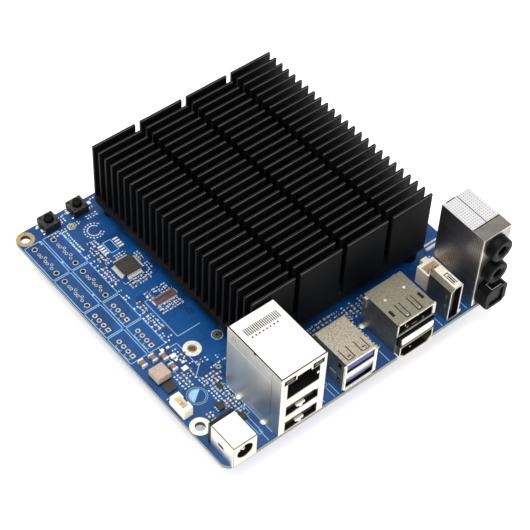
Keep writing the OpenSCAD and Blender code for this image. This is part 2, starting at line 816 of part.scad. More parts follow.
module io_chip_leads() {
    color("silver") for (turn = [0:90:270], i = [0:io_leads_per_side - 1]) {
        along = (i - (io_leads_per_side - 1) / 2) * io_lead_pitch;
        at(io_chip_at[0], io_chip_at[1]) rotate(turn)
            translate([io_chip_size[0] / 2, along + io_lead_w / 2, 0])
                rotate([90, 0, 0]) linear_extrude(io_lead_w) polygon(io_lead_outline);
    }
}

module storage_connector() {
    color("saddlebrown") difference() {
        chip(storage_at, storage_size, 0);
        chip(storage_at, storage_slot, storage_floor);
    }
}

module power_inductor() {
    color("tan") chip(inductor_at, inductor_size, 0);
}

module regulator_chip() {
    color("#2c2a28") chip(regulator_at, regulator_size);
}

module bulk_capacitors() {
    color("tan") for (p = capacitor_spots) chip(p, capacitor_size, 0);
}

module battery_header() {
    color("cornsilk") difference() {
        chip(battery_at, battery_size, 0);
        chip(battery_at, battery_well, battery_floor);
        chip([battery_mouth_x, battery_at[1]], battery_mouth, battery_floor);
    }
}

module fan_header() {
    color("cornsilk") difference() {
        union() {
            span(fan_x, fan_y, [0, fan_h]);
            span(fan_lobe_x, [fan_y[1] - overlap, fan_lobe_back], [0, fan_h - overlap]);
        }
        span(grow(fan_x, -fan_wall), [fan_y[0] + fan_wall, fan_y[1] - fan_back_wall],
            [fan_floor, fan_h + cut]);
        span([mid(fan_x) - fan_key_half, mid(fan_x) + fan_key_half], grow([fan_y[0], fan_y[0]], cut),
            [fan_key_z, fan_h + cut]);
    }
}

module fan_header_pins() {
    color("gold") for (i = [-1.5:1.5]) {
        x = mid(fan_x) + i * fan_pin_pitch;
        span([x - fan_pin_half, x + fan_pin_half], fan_pin_y, [fan_floor, fan_pin_top]);
    }
}

// A memory socket below the board: a contact bar with a slot toward the back, two side arms,
// and a lug at each end of the bar that carries the pin of a spring latch.
// arm_at is the distance of each arm's inner face past the end of the module.
module memory_socket(bar_y, arm_back, h, arm_at) {
    half = memory_half + arm_at;
    outer = half + arm_w;
    low = under - h;
    slot_z = low + lug_t;
    lug_x = [outer - 1, outer + latch_gap + latch_t + lug_rim];
    color("#18181a") difference() {
        union() {
            strip(0, [-outer, outer], bar_y, [low, under]);
            for (side = [-1, 1]) {
                strip(side, [half, outer], [bar_y[1] - 1, arm_back], [low + arm_lift, under]);
                strip(side, lug_x, [bar_y[0], bar_y[0] + 2 * latch_root], [low, low + lug_t]);
            }
        }
        strip(0, [-memory_half, memory_half], [bar_y[1] - slot_depth, bar_y[1] + cut],
            [slot_z, slot_z + slot_t]);
        for (side = [-1, 1]) latch_pin(side, outer, bar_y, [low - cut, low + lug_t + 0.1], pin_gap);
    }
}

// A block in the memory sockets' own frame, mirrored to the left when side is -1.
module strip(side, x, y, z)
    span(side < 0 ? [memory_mid - x[1], memory_mid - x[0]] : [memory_mid + x[0], memory_mid + x[1]], y, z);

// The upright pin that a latch turns on, or its hole when made larger by extra.
module latch_pin(side, outer, bar_y, z, extra = 0)
    bar_z(memory_mid + side * (outer + latch_gap + latch_t / 2), bar_y[0] + latch_root, z,
        latch_pin_r + extra);

// A spring latch beside one arm: a strip outside the arm, with a hook that reaches over the module's edge.
module memory_latch(side, bar_y, arm_back, h, arm_at) {
    outer = memory_half + arm_at + arm_w;
    x = [outer + latch_gap, outer + latch_gap + latch_t];
    low = under - h;
    hook_low = low + latch_lift;
    strip_z = [low + lug_t + latch_gap_z, under - 0.5];
    hook_y = [arm_back + hook_gap, arm_back + hook_gap + hook_w];
    color("silver") {
        latch_pin(side, outer, bar_y, [low + pin_gap, strip_z[0] + overlap]);
        strip(side, x, [bar_y[0] + latch_root, hook_y[1]], strip_z);
        strip(side, x, hook_y, [hook_low, strip_z[1]]);
        strip(side, [memory_half - latch_hook, x[0] + 0.1], hook_y, [hook_low, hook_low + latch_hook_t]);
    }
}

module tall_memory_socket() memory_socket(tall_bar_y, tall_arm_back, tall_socket_h, tall_arm_offset);
module low_memory_socket() memory_socket(low_bar_y, low_arm_back, low_socket_h, low_arm_offset);
module tall_latch_left() memory_latch(-1, tall_bar_y, tall_arm_back, tall_socket_h, tall_arm_offset);
module tall_latch_right() memory_latch(1, tall_bar_y, tall_arm_back, tall_socket_h, tall_arm_offset);
module low_latch_left() memory_latch(-1, low_bar_y, low_arm_back, low_socket_h, low_arm_offset);
module low_latch_right() memory_latch(1, low_bar_y, low_arm_back, low_socket_h, low_arm_offset);

module drive_socket() {
    color("#1a1a1c") difference() {
        span(drive_socket_x, [drive_y - drive_socket_half, drive_y + drive_socket_half],
            [under - drive_socket_h, under]);
        span([drive_socket_x[0] - cut, drive_socket_x[0] + drive_slot_depth],
            [drive_y - drive_slot_half, drive_y + drive_slot_half], drive_slot_z);
    }
}

module drive_standoff() {
    color("gold") difference() {
        union() {
            bar_z(standoff_x, drive_y, [under - standoff_h, under], standoff_r);
            bar_z(standoff_x, drive_y, [under - 0.2, 0], standoff_neck_r - 0.05);
        }
        bar_z(standoff_x, drive_y, [under - standoff_h - cut, cut], standoff_bore_r);
    }
}

module underside_chips() {
    color("#2b2b2d") for (c = lower_chips)
        chip([c[0], c[1]], [c[2], c[3], lower_chip_h], under - chip_lift - lower_chip_h);
}

board();
heatsink();
heatsink_screws();
processor_substrate();
processor_die();
thermal_pad();
dc_jack_shield();
dc_jack_body();
dc_jack_pin();
dc_jack_spring();
lan_shield();
lan_housing();
lan_contacts();
lan_light_pipes();
lan_label();
usb2_upper_tongue();
usb2_lower_tongue();
usb3_shell();
usb3_housing();
usb3_upper_tongue();
usb3_lower_tongue();
video_shell();
video_housing();
video_upper_tongue();
video_lower_tongue();
upright_shell();
upright_housing();
upright_tongue();
audio_can();
audio_core();
upper_jack();
lower_jack();
optical_port();
optical_shutter();
power_switch_base();
power_switch_cover();
power_button();
reset_switch_base();
reset_switch_cover();
reset_button();
switch_legs();
shield_legs();
io_chip();
io_chip_leads();
storage_connector();
power_inductor();
regulator_chip();
bulk_capacitors();
battery_header();
fan_header();
fan_header_pins();
tall_memory_socket();
tall_latch_left();
tall_latch_right();
low_memory_socket();
low_latch_left();
low_latch_right();
drive_socket();
drive_standoff();
underside_chips();
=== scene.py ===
"""Looks for a fanless single board computer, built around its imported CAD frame.

Places are in board millimetres: x from the board's left edge, y from its front edge and
z from its top face. The place of that frame comes from the CAD node of the board itself.
"""

import logging
import math
import random
from dataclasses import dataclass
from enum import Enum
from typing import Any, Sequence

import bmesh
import bpy
from bpy.types import Material, Mesh, Node, NodeSocket, NodeTree, Object
from mathutils import Matrix, Vector


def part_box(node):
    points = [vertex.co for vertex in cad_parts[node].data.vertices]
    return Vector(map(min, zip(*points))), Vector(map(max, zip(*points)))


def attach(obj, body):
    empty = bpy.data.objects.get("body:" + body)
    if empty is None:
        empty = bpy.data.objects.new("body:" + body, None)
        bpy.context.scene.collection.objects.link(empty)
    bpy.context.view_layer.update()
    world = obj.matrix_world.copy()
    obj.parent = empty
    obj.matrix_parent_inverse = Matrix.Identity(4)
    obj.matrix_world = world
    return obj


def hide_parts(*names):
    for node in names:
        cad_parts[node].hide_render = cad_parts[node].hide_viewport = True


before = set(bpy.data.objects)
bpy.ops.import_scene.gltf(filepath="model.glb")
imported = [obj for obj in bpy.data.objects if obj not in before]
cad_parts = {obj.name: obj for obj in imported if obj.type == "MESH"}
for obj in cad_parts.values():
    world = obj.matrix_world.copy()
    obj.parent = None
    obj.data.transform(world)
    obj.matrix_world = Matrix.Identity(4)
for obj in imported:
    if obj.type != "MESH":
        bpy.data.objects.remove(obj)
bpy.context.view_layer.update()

LOG = logging.getLogger("single_board_computer")

MM = 0.001
BOARD_LOW, BOARD_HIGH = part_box("board")
CORNER = Vector((BOARD_LOW.x, BOARD_LOW.y, BOARD_HIGH.z))
BOARD_W = (BOARD_HIGH.x - BOARD_LOW.x) / MM
BOARD_D = (BOARD_HIGH.y - BOARD_LOW.y) / MM
BOARD_T = (BOARD_HIGH.z - BOARD_LOW.z) / MM
SMOOTH_ANGLE = math.radians(35)
SEED = 20

Range = tuple[float, float]
Point = tuple[float, float]
Numbers = tuple[float, ...]
# A single row or column of a repeat.
ONE = (1, (0, 0, 0))
ORIGIN = (0, 0, 0)


def place(x: float, y: float, z: float = 0.0) -> Vector:
    """Returns a board place in the row frame, in metres."""
    return CORNER + Vector((x, y, z)) * MM


def node_box(node: str) -> tuple[Vector, Vector]:
    """Gives a CAD node's box in board millimetres.

    Args:
        node: name of the CAD node.

    Returns:
        The lowest and the highest corner.
    """
    low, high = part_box(node)
    return (low - CORNER) / MM, (high - CORNER) / MM


def show(part: Object) -> None:
    """Links an object to the scene."""
    bpy.context.scene.collection.objects.link(part)


def linear(colour: str) -> tuple[float, float, float, float]:
    """Turns an sRGB hex colour into linear light.

    Args:
        colour: six hex digits after a hash sign.

    Returns:
        Linear red, green and blue, and an alpha of 1.
    """
    parts = [int(colour[i:i + 2], 16) / 255 for i in (1, 3, 5)]
    light = [c / 12.92 if c <= 0.04045 else ((c + 0.055) / 1.055) ** 2.4 for c in parts]
    return light[0], light[1], light[2], 1.0


def add(tree: NodeTree, kind: str, links: dict | None = None, **settings: Any) -> Node:
    """Adds a node to a tree.

    Args:
        tree: the node tree.
        kind: the node's type.
        links: for each input, by name or number, a value or the socket that feeds it.
        settings: properties of the node itself.

    Returns:
        The new node.
    """
    node = tree.nodes.new(kind)
    for name, value in settings.items():
        setattr(node, name, value)
    for key, value in (links or {}).items():
        if isinstance(value, NodeSocket):
            tree.links.new(value, node.inputs[key])
        else:
            node.inputs[key].default_value = value
    return node


# -------- finishes


class Grain(Enum):
    """How a surface's fine relief runs."""

    CAST = (1.0, 1.0, 1.0)
    BRUSHED_ALONG_X = (0.04, 1.0, 1.0)
    BRUSHED_ALONG_Y = (1.0, 0.04, 1.0)
    DRAWN_ALONG_Z = (1.0, 1.0, 0.05)


@dataclass(frozen=True)
class Finish:
    """A real finish: its colours, gloss and fine relief, with sizes in millimetres."""

    title: str
    colour: str
    stain: str
    roughness: float
    metallic: float = 0.0
    gloss_spread: float = 0.08
    stain_mm: float = 3.0
    grain: Grain = Grain.CAST
    grain_mm: float = 0.25
    grain_depth: float = 0.004
    coat: float = 0.0
    ior: float = 1.5
    clear: float = 0.0

    def noise(self, tree: NodeTree, size_mm: float, detail: float) -> Node:
        """Adds a noise pattern in the finish's grain direction.

        Args:
            tree: the material's node tree.
            size_mm: size of one blotch.
            detail: number of finer layers.

        Returns:
            The noise node.
        """
        where = add(tree, "ShaderNodeTexCoord").outputs["Object"]
        turned = add(tree, "ShaderNodeMapping", {"Vector": where, "Scale": self.grain.value})
        return add(tree, "ShaderNodeTexNoise", {
            "Vector": turned.outputs[0], "Scale": 1 / (size_mm * MM), "Detail": detail, "Roughness": 0.55})

    def shade(self, tree: NodeTree) -> NodeSocket:
        """Makes the colour that reaches the shader.

        Args:
            tree: the material's node tree.

        Returns:
            A colour socket.
        """
        blotches = self.noise(tree, self.stain_mm, 4.0)
        share = add(tree, "ShaderNodeMapRange", {
            "Value": blotches.outputs["Fac"], "From Min": 0.35, "From Max": 0.7})
        mix = add(tree, "ShaderNodeMix", {
            0: share.outputs[0], 6: linear(self.colour), 7: linear(self.stain)}, data_type="RGBA")
        return mix.outputs[2]

    def material(self) -> Material:
        """Builds the finish's material once and gives it back each time."""
        found = bpy.data.materials.get(self.title)
        if found:
            return found
        made = bpy.data.materials.new(self.title)
        made.use_nodes = True
        tree = made.node_tree
        tree.nodes.clear()
        fine = self.noise(tree, self.grain_mm, 3.0)
        rough = add(tree, "ShaderNodeMapRange", {
            "Value": fine.outputs["Fac"],
            "To Min": max(0.03, self.roughness - self.gloss_spread),
            "To Max": min(1.0, self.roughness + self.gloss_spread)})
        relief = add(tree, "ShaderNodeBump", {
            "Height": fine.outputs["Fac"], "Distance": self.grain_depth * MM, "Strength": 1.0})
        shader = add(tree, "ShaderNodeBsdfPrincipled", {
            "Base Color": self.shade(tree), "Roughness": rough.outputs[0], "Normal": relief.outputs[0],
            "Metallic": self.metallic, "IOR": self.ior, "Coat Weight": self.coat, "Coat Roughness": 0.12,
            "Transmission Weight": self.clear})
        add(tree, "ShaderNodeOutputMaterial", {"Surface": shader.outputs[0]})
        return made


@dataclass(frozen=True)
class SolderMask(Finish):
    """Glossy blue lacquer over copper on both faces of the board, with the bare laminate at its edge."""

    laminate: str = "#77785c"
    skin_mm: float = 0.06
    pour_mm: float = 6.5

    def shade(self, tree: NodeTree) -> NodeSocket:
        """Mixes lacquer over copper areas and gaps with the laminate that shows between the two faces.

        Args:
            tree: the material's node tree.

        Returns:
            A colour socket.
        """
        where = add(tree, "ShaderNodeTexCoord").outputs["Object"]
        areas = add(tree, "ShaderNodeTexVoronoi", {
            "Vector": where, "Scale": 1 / (self.pour_mm * MM), "Randomness": 0.9}, distance="CHEBYCHEV")
        tone = add(tree, "ShaderNodeSeparateColor", {0: areas.outputs["Color"]})
        share = add(tree, "ShaderNodeMapRange", {
            "Value": tone.outputs[0], "From Min": 0.2, "From Max": 0.95})
        lacquer = add(tree, "ShaderNodeMix", {
            0: share.outputs[0], 6: linear(self.colour), 7: linear(self.stain)}, data_type="RGBA")
        height = add(tree, "ShaderNodeSeparateXYZ", {0: where}).outputs[2]
        below = add(tree, "ShaderNodeMath", {
            0: height, 1: BOARD_HIGH.z - self.skin_mm * MM}, operation="LESS_THAN")
        above = add(tree, "ShaderNodeMath", {
            0: height, 1: BOARD_LOW.z + self.skin_mm * MM}, operation="GREATER_THAN")
        core = add(tree, "ShaderNodeMath", {0: below.outputs[0], 1: above.outputs[0]}, operation="MULTIPLY")
        mix = add(tree, "ShaderNodeMix", {
            0: core.outputs[0], 6: lacquer.outputs[2], 7: linear(self.laminate)}, data_type="RGBA")
        return mix.outputs[2]


# Liquid photo-imaged solder mask: a wet-looking, even blue with copper areas a shade lighter.
MASK = SolderMask("blue solder mask over copper", "#03386f", "#084b88", 0.34, gloss_spread=0.05,
                  grain_mm=0.6, grain_depth=0.002, coat=0.1, ior=1.4)
# The same lacquer where a track lies under it, so it is raised and a little lighter.
TRACK = Finish("solder mask over a track", "#125a9b", "#0e5090", 0.34, stain_mm=5, coat=0.1, ior=1.4)
# Screen printed epoxy ink: thin, matt and tinted by the lacquer under it.
INK = Finish("pale legend ink", "#9cc6e2", "#7fb0d6", 0.6, stain_mm=0.5)
# Hard gold over nickel on drilled rings: pale yellow, satin.
GOLD = Finish("gold plate over nickel", "#d9bf8c", "#b99a62", 0.35, 1.0, stain_mm=0.8)
# Hot air levelled tin on through-hole rings: cream where it is thin over the copper.
RING = Finish("levelled tin ring", "#e6dfcf", "#a09480", 0.42, 0.6, stain_mm=0.5)
# Reflowed tin on bare pads: bright, slightly domed and uneven.
TIN = Finish("reflowed tin", "#e6edf4", "#a7b6c4", 0.5, 0.25, stain_mm=0.35, grain_depth=0.01)
# Heavily rounded solder joints: bright and wet.
SOLDER = Finish("solder joint", "#f7f6f0", "#dcd9ce", 0.4, 0.3, stain_mm=0.6, grain_depth=0.01)
# Extruded aluminium, dyed black and sealed: nearly black, with hardly any sheen.
ANODISED = Finish("black anodised aluminium", "#060708", "#0a0b0c", 0.55, 0.0, 0.06, 12.0,
                  Grain.BRUSHED_ALONG_X, 0.2, 0.002, ior=1.25)
# Painted highlight: grey where the light catches the top of each fin, also used on the face of each light pipe.
PAINTED_HIGHLIGHT_GREY = Finish("grey painted highlight", "#55565a", "#3c3d40", 0.5, 0.2, stain_mm=6.0)
# Drawn and tinned steel sheet: nearly white where it faces the light, soft mirror at the sides.
TINNED = Finish("tinned steel sheet", "#e9e5da", "#d3d0c6", 0.36, 1.0, 0.03, 9.0,
                Grain.DRAWN_ALONG_Z, 0.5, 0.0004)
# Flat tinned face, buffed so that it scatters light evenly.
PAPER_TIN = Finish("buffed tin face", "#f6f5f0", "#efeee8", 0.55, 0.35, 0.03, 9.0)
# Bright nickel over stamped steel, warm grey with a speckle from the rolling mill.
NICKEL = Finish("nickel plated steel", "#a8a291", "#87816f", 0.36, 1.0, 0.1, 0.7,
                Grain.CAST, 0.3, 0.004)
# The same sheet with a coarse mottle, as on the fast ports' shell.
MOTTLED = Finish("mottled nickel sheet", "#d2cbb8", "#8f8671", 0.36, 1.0, 0.14, 0.5,
                 Grain.CAST, 0.35, 0.008)
# Zinc-flashed steel of the sound stack's can, cool and bright.
ZINC = Finish("zinc plated steel", "#aeacae", "#969497", 0.34, 1.0, 0.04, 3.0,
              Grain.BRUSHED_ALONG_Y, 0.4, 0.0006)
# The can's rolled front band, greyer than the rest.
BAND = Finish("rolled zinc band", "#918e86", "#7d7a72", 0.4, 0.9, 0.05, 5.0)
# Phosphor bronze springs and pins under bright tin.
SPRING = Finish("tinned phosphor bronze", "#d9d4c6", "#a79f8c", 0.25, 1.0, stain_mm=1.0)
# Passivated cover of a push switch, brownish grey.
COVER = Finish("passivated switch cover", "#57544e", "#423f3b", 0.38, 0.9, stain_mm=2.0)
# Glass-filled nylon, moulded: dark with a faint grain.
NYLON = Finish("black glass filled nylon", "#0c0c0e", "#151517", 0.55, stain_mm=1.5, grain_mm=0.15,
               grain_depth=0.004, ior=1.35)
# Polished tool, smooth moulding for the sound jacks.
GLOSSY = Finish("smooth moulded black plastic", "#020203", "#050506", 0.48, stain_mm=2.0, ior=1.22)
# Painted highlight: a greyer ring round a jack's bore, where the gloss catches the light.
JACK_PAINTED_HIGHLIGHT = Finish("painted highlight round a jack's bore", "#101113", "#17181a", 0.55, stain_mm=1.0, ior=1.3)
# Blue nylon that marks the fast ports.
BLUE_NYLON = Finish("blue nylon", "#33499a", "#263776", 0.5, stain_mm=2.0)
# Polyester headers, cream and slightly waxy.
CREAM = Finish("cream polyester", "#fdf6e6", "#f1e6cc", 0.42, stain_mm=1.5)
# Heat-resistant liquid crystal polymer, brown and matt.
BROWN = Finish("brown liquid crystal polymer", "#6a5549", "#4d3d34", 0.45, stain_mm=0.8)
# Moulded acrylic light guide: clear with a slight green, dark behind.
ACRYLIC = Finish("clear acrylic", "#8d9484", "#6e7667", 0.2, clear=0.2)
# Matt coated paper label.
PAPER = Finish("coated label paper", "#f4f4f1", "#e9e8e4", 0.7, stain_mm=8.0)
# Thermal transfer print on the label.
PRINT = Finish("thermal print", "#0c0c0d", "#19191a", 0.6, stain_mm=0.6)
# Moulded epoxy of a chip: charcoal, finely eroded by the mould.
EPOXY = Finish("moulded chip epoxy", "#2b2b28", "#3b3b36", 0.5, stain_mm=1.6, grain_mm=0.12,
               grain_depth=0.006, ior=1.4)
# Pressed iron powder with a warm grey lacquer.
FERRITE = Finish("pressed iron powder", "#b9a898", "#a3917f", 0.48, stain_mm=0.7, grain_mm=0.15,
                 grain_depth=0.012)
# Fired barium titanate: tan, matt.
CERAMIC = Finish("fired ceramic", "#8f7355", "#6b5238", 0.5, stain_mm=0.4)
# Resistor's black glass overcoat.
RESISTIVE = Finish("resistor glaze", "#17181a", "#26282c", 0.35, stain_mm=0.5)
# Green laminate of the processor's carrier.
CARRIER = Finish("green carrier laminate", "#2f6b3f", "#285a36", 0.35, stain_mm=2.0)
# Back of a polished silicon die.
SILICON = Finish("polished silicon", "#7c828c", "#62676f", 0.15, 0.6, stain_mm=4.0)
# Silicone pad that carries heat to the metal: soft grey.
PAD = Finish("silicone thermal pad", "#a8a8a4", "#8f8f8c", 0.75, stain_mm=1.0)
# Dark inside of a drilled hole or an empty port.
SHADOW = Finish("unlit hole wall", "#06070a", "#0c0d12", 0.8, stain_mm=0.5, ior=1.2)
# Painted shade inside a drilled hole: brown-black where its wall is out of the light.
HOLE_PAINTED_SHADE = Finish("painted shade in a drilled hole", "#2a2019", "#17120e", 0.6, stain_mm=0.5)
# Wave-soldered ring of the two pale holes, cream and dull.
WHITE_RING = Finish("wave soldered tin ring", "#f2f0e2", "#d9d6c6", 0.45, 0.5, stain_mm=0.8)
# The can's flat top, paler than its sides because it faces the light.
ZINC_TOP = Finish("pale zinc top", "#d4d4d6", "#cbcbce", 0.5, 0.4, 0.03, 6.0)
# Painted shade: the can's zinc where it dips into a dimple, drawn a little darker than the sheet.
ZINC_DIMPLE_PAINTED_SHADE = Finish("painted shade in a zinc dimple", "#a9a7ad", "#98969d", 0.5, 0.4)
# Painted reflection: the can's side dimples, dark and warm with the parts next to the can reflected in them.
ZINC_SIDE_PAINTED_REFLECTION = Finish("painted warm reflection in a side dimple", "#8a7f74", "#6d635a", 0.3, 1.0)


# -------- mesh work


class Workpiece:
    """Collects closed solids in board millimetres and turns them into one named piece."""

    def __init__(self) -> None:
        """Starts with no solid."""
        self.mesh = bmesh.new()

    def block(self, x: Range, y: Range, z: Range) -> "Workpiece":
        """Adds a block between two limits on each axis and returns the workpiece."""
        outline = [(x[0], y[0]), (x[1], y[0]), (x[1], y[1]), (x[0], y[1])]
        return self.prism(outline, z)

    def prism(self, outline: Sequence[Point], reach: Range, axis: str = "z") -> "Workpiece":
        """Adds an outline pushed along an axis.

        Args:
            outline: points round the outline, in the two axes that are left, in order.
            reach: where the prism starts and ends along the axis.
            axis: "x", "y" or "z".

        Returns:
            The workpiece.
        """
        order = {"z": (0, 1, 2), "y": (0, 2, 1), "x": (2, 0, 1)}[axis]
        rings = []
        for level in reach:
            corners = [(u, v, level) for u, v in outline]
            rings.append([self.mesh.verts.new([c[i] for i in order]) for c in corners])
        self.mesh.faces.new(rings[0])
        self.mesh.faces.new(rings[1])
        for i in range(len(outline)):
            j = (i + 1) % len(outline)
            self.mesh.faces.new([rings[0][i], rings[0][j], rings[1][j], rings[1][i]])
        return self

    def turned(self, at: Sequence[float], profile: Sequence[Point], axis: str = "z",
               sides: int = 24) -> "Workpiece":
        """Adds a profile turned about an axis.

        Args:
            at: a point on the axis.
            profile: radius and height of each point. One that starts away from the axis is a loop.
            axis: "x", "y" or "z".
            sides: number of flats round the axis.

        Returns:
            The workpiece.
        """
        order = {"z": (0, 1, 2), "y": (0, 2, 1), "x": (2, 0, 1)}[axis]
        rows = []
        for radius, height in profile:
            count = sides if radius > 0 else 1
            row = []
            for i in range(count):
                angle = 2 * math.pi * (i + 0.5) / sides
                local = (radius * math.cos(angle), radius * math.sin(angle), height)
                row.append(self.mesh.verts.new([at[k] + local[order[k]] for k in range(3)]))
            rows.append(row)
        joins = list(zip(rows, rows[1:]))
        if profile[0][0] > 0:
            joins.append((rows[-1], rows[0]))
        for low, high in joins:
            for i in range(sides):
                j = (i + 1) % sides
                corners = [low[i % len(low)], low[j % len(low)], high[j % len(high)], high[i % len(high)]]
                self.mesh.faces.new(list(dict.fromkeys(corners)))
        return self

    def ribbon(self, path: Sequence[Point], width: float, z: Range) -> "Workpiece":
        """Adds a flat strip along a path of straight stretches, with square ends.

        Args:
            path: points of the strip's middle line.
            width: width of the strip.
            z: heights of its lower and upper face.

        Returns:
            The workpiece.
        """
        half = width / 2
        for a, b in zip(path, path[1:]):
            along = Vector((b[0] - a[0], b[1] - a[1])).normalized() * half
            side = Vector((-along.y, along.x))
            start, end = Vector(a) - along, Vector(b) + along
            self.prism([tuple(start - side), tuple(end - side), tuple(end + side), tuple(start + side)], z)
        return self

    def soften(self, width: float, steps: int = 2) -> "Workpiece":
        """Rounds every sharp edge.

        Args:
            width: width of the rounding.
            steps: number of flats across it.

        Returns:
            The workpiece.
        """
        self.mesh.normal_update()
        bmesh.ops.recalc_face_normals(self.mesh, faces=self.mesh.faces)
        sharp = [e for e in self.mesh.edges if e.is_manifold and e.calc_face_angle(0) > SMOOTH_ANGLE]
        bmesh.ops.bevel(self.mesh, geom=sharp, offset=width, offset_type="OFFSET", segments=steps,
                        profile=0.5, affect="EDGES", clamp_overlap=True)
        return self

    def data(self, name: str, local: bool = False) -> Mesh:
        """Turns the solids into mesh data.

        Args:
            name: name of the mesh.
            local: True for a unit that is repeated, whose place stays round its own origin.

        Returns:
            The mesh, in metres.
        """
        bmesh.ops.recalc_face_normals(self.mesh, faces=self.mesh.faces)
        made = bpy.data.meshes.new(name)
        self.mesh.to_mesh(made)
        self.mesh.free()
        shift = Matrix.Identity(4) if local else Matrix.Translation(CORNER)
        made.transform(shift @ Matrix.Scale(MM, 4))
        return made

    def piece(self, name: str, finish: Finish, slot: str, body: str = "main",
              stands_for: Sequence[str] = ()) -> None:
        """Makes the finished piece and settles it on its body.

        Args:
            name: name of the piece.
            finish: its finish.
            slot: its material slot; not used.
            body: its CAD body.
            stands_for: CAD nodes that it replaces.
        """
        settle(self.data(name), name, finish, body, stands_for)


def settle(mesh: Mesh, name: str, finish: Finish, body: str,
           stands_for: Sequence[str], smooth: bool = True) -> None:
    """Makes an object of a mesh, dresses it and lets it ride on its body.

    Args:
        mesh: the finished mesh, in its place.
        name: name of the piece.
        finish: its finish.
        body: its CAD body.
        stands_for: CAD nodes that it replaces.
        smooth: False for a mesh that already has its own normals.
    """
    mesh.materials.clear()
    mesh.materials.append(finish.material())
    if smooth:
        mesh.shade_smooth()
        mesh.set_sharp_from_angle(angle=SMOOTH_ANGLE)
    made = bpy.data.objects.new(name, mesh)
    show(made)
    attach(made, body)
    if stands_for:
        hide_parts(*stands_for)
    LOG.info("%s: %d faces, %s", name, len(mesh.polygons), finish.title)


def dress(node: str, finish: Finish) -> None:
    """Gives a CAD node, which stays as it is, its finish.

    Args:
        node: the CAD node.
        finish: its finish.
    """
    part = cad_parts[node]
    part.data.materials.clear()
    part.data.materials.append(finish.material())
    LOG.info("%s: CAD node, %s", node, finish.title)


def formed(node: str, finish: Finish, edge: float, body: str = "main",
           name: str = "") -> None:
    """Shows a CAD node with its edges rounded, as a press or a mould leaves them.

    Args:
        node: the CAD node.
        finish: its finish.
        edge: width of the rounding, in millimetres.
        body: its CAD body.
        name: name of the piece, or nothing for the node's own with "_formed".
    """
    name = name or node + "_formed"
    mesh = bpy.data.meshes.new(name)
    work = bmesh.new()
    work.from_mesh(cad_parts[node].data)
    bmesh.ops.remove_doubles(work, verts=work.verts, dist=0.002 * MM)
    bmesh.ops.dissolve_limit(work, angle_limit=math.radians(0.5), verts=work.verts, edges=work.edges)
    work.to_mesh(mesh)
    work.free()
    part = bpy.data.objects.new(name, mesh)
    show(part)
    rounding = part.modifiers.new("rounding", "BEVEL")
    rounding.width = edge * MM
    rounding.segments = 2
    rounding.limit_method = "ANGLE"
    rounding.angle_limit = SMOOTH_ANGLE
    mesh.shade_smooth()
    flat = part.modifiers.new("flat faces stay flat", "WEIGHTED_NORMAL")
    flat.weight = 100
    done = evaluated(part)
    bpy.data.objects.remove(part)
    settle(done, name, finish, body, (node,), smooth=False)


def evaluated(part: Object) -> Mesh:
    """Applies an object's modifiers.

    Args:
        part: the object.

    Returns:
        A plain mesh of the result.
    """
    bpy.context.view_layer.update()
    graph = bpy.context.evaluated_depsgraph_get()
    return bpy.data.meshes.new_from_object(part.evaluated_get(graph))


# -------- repeats


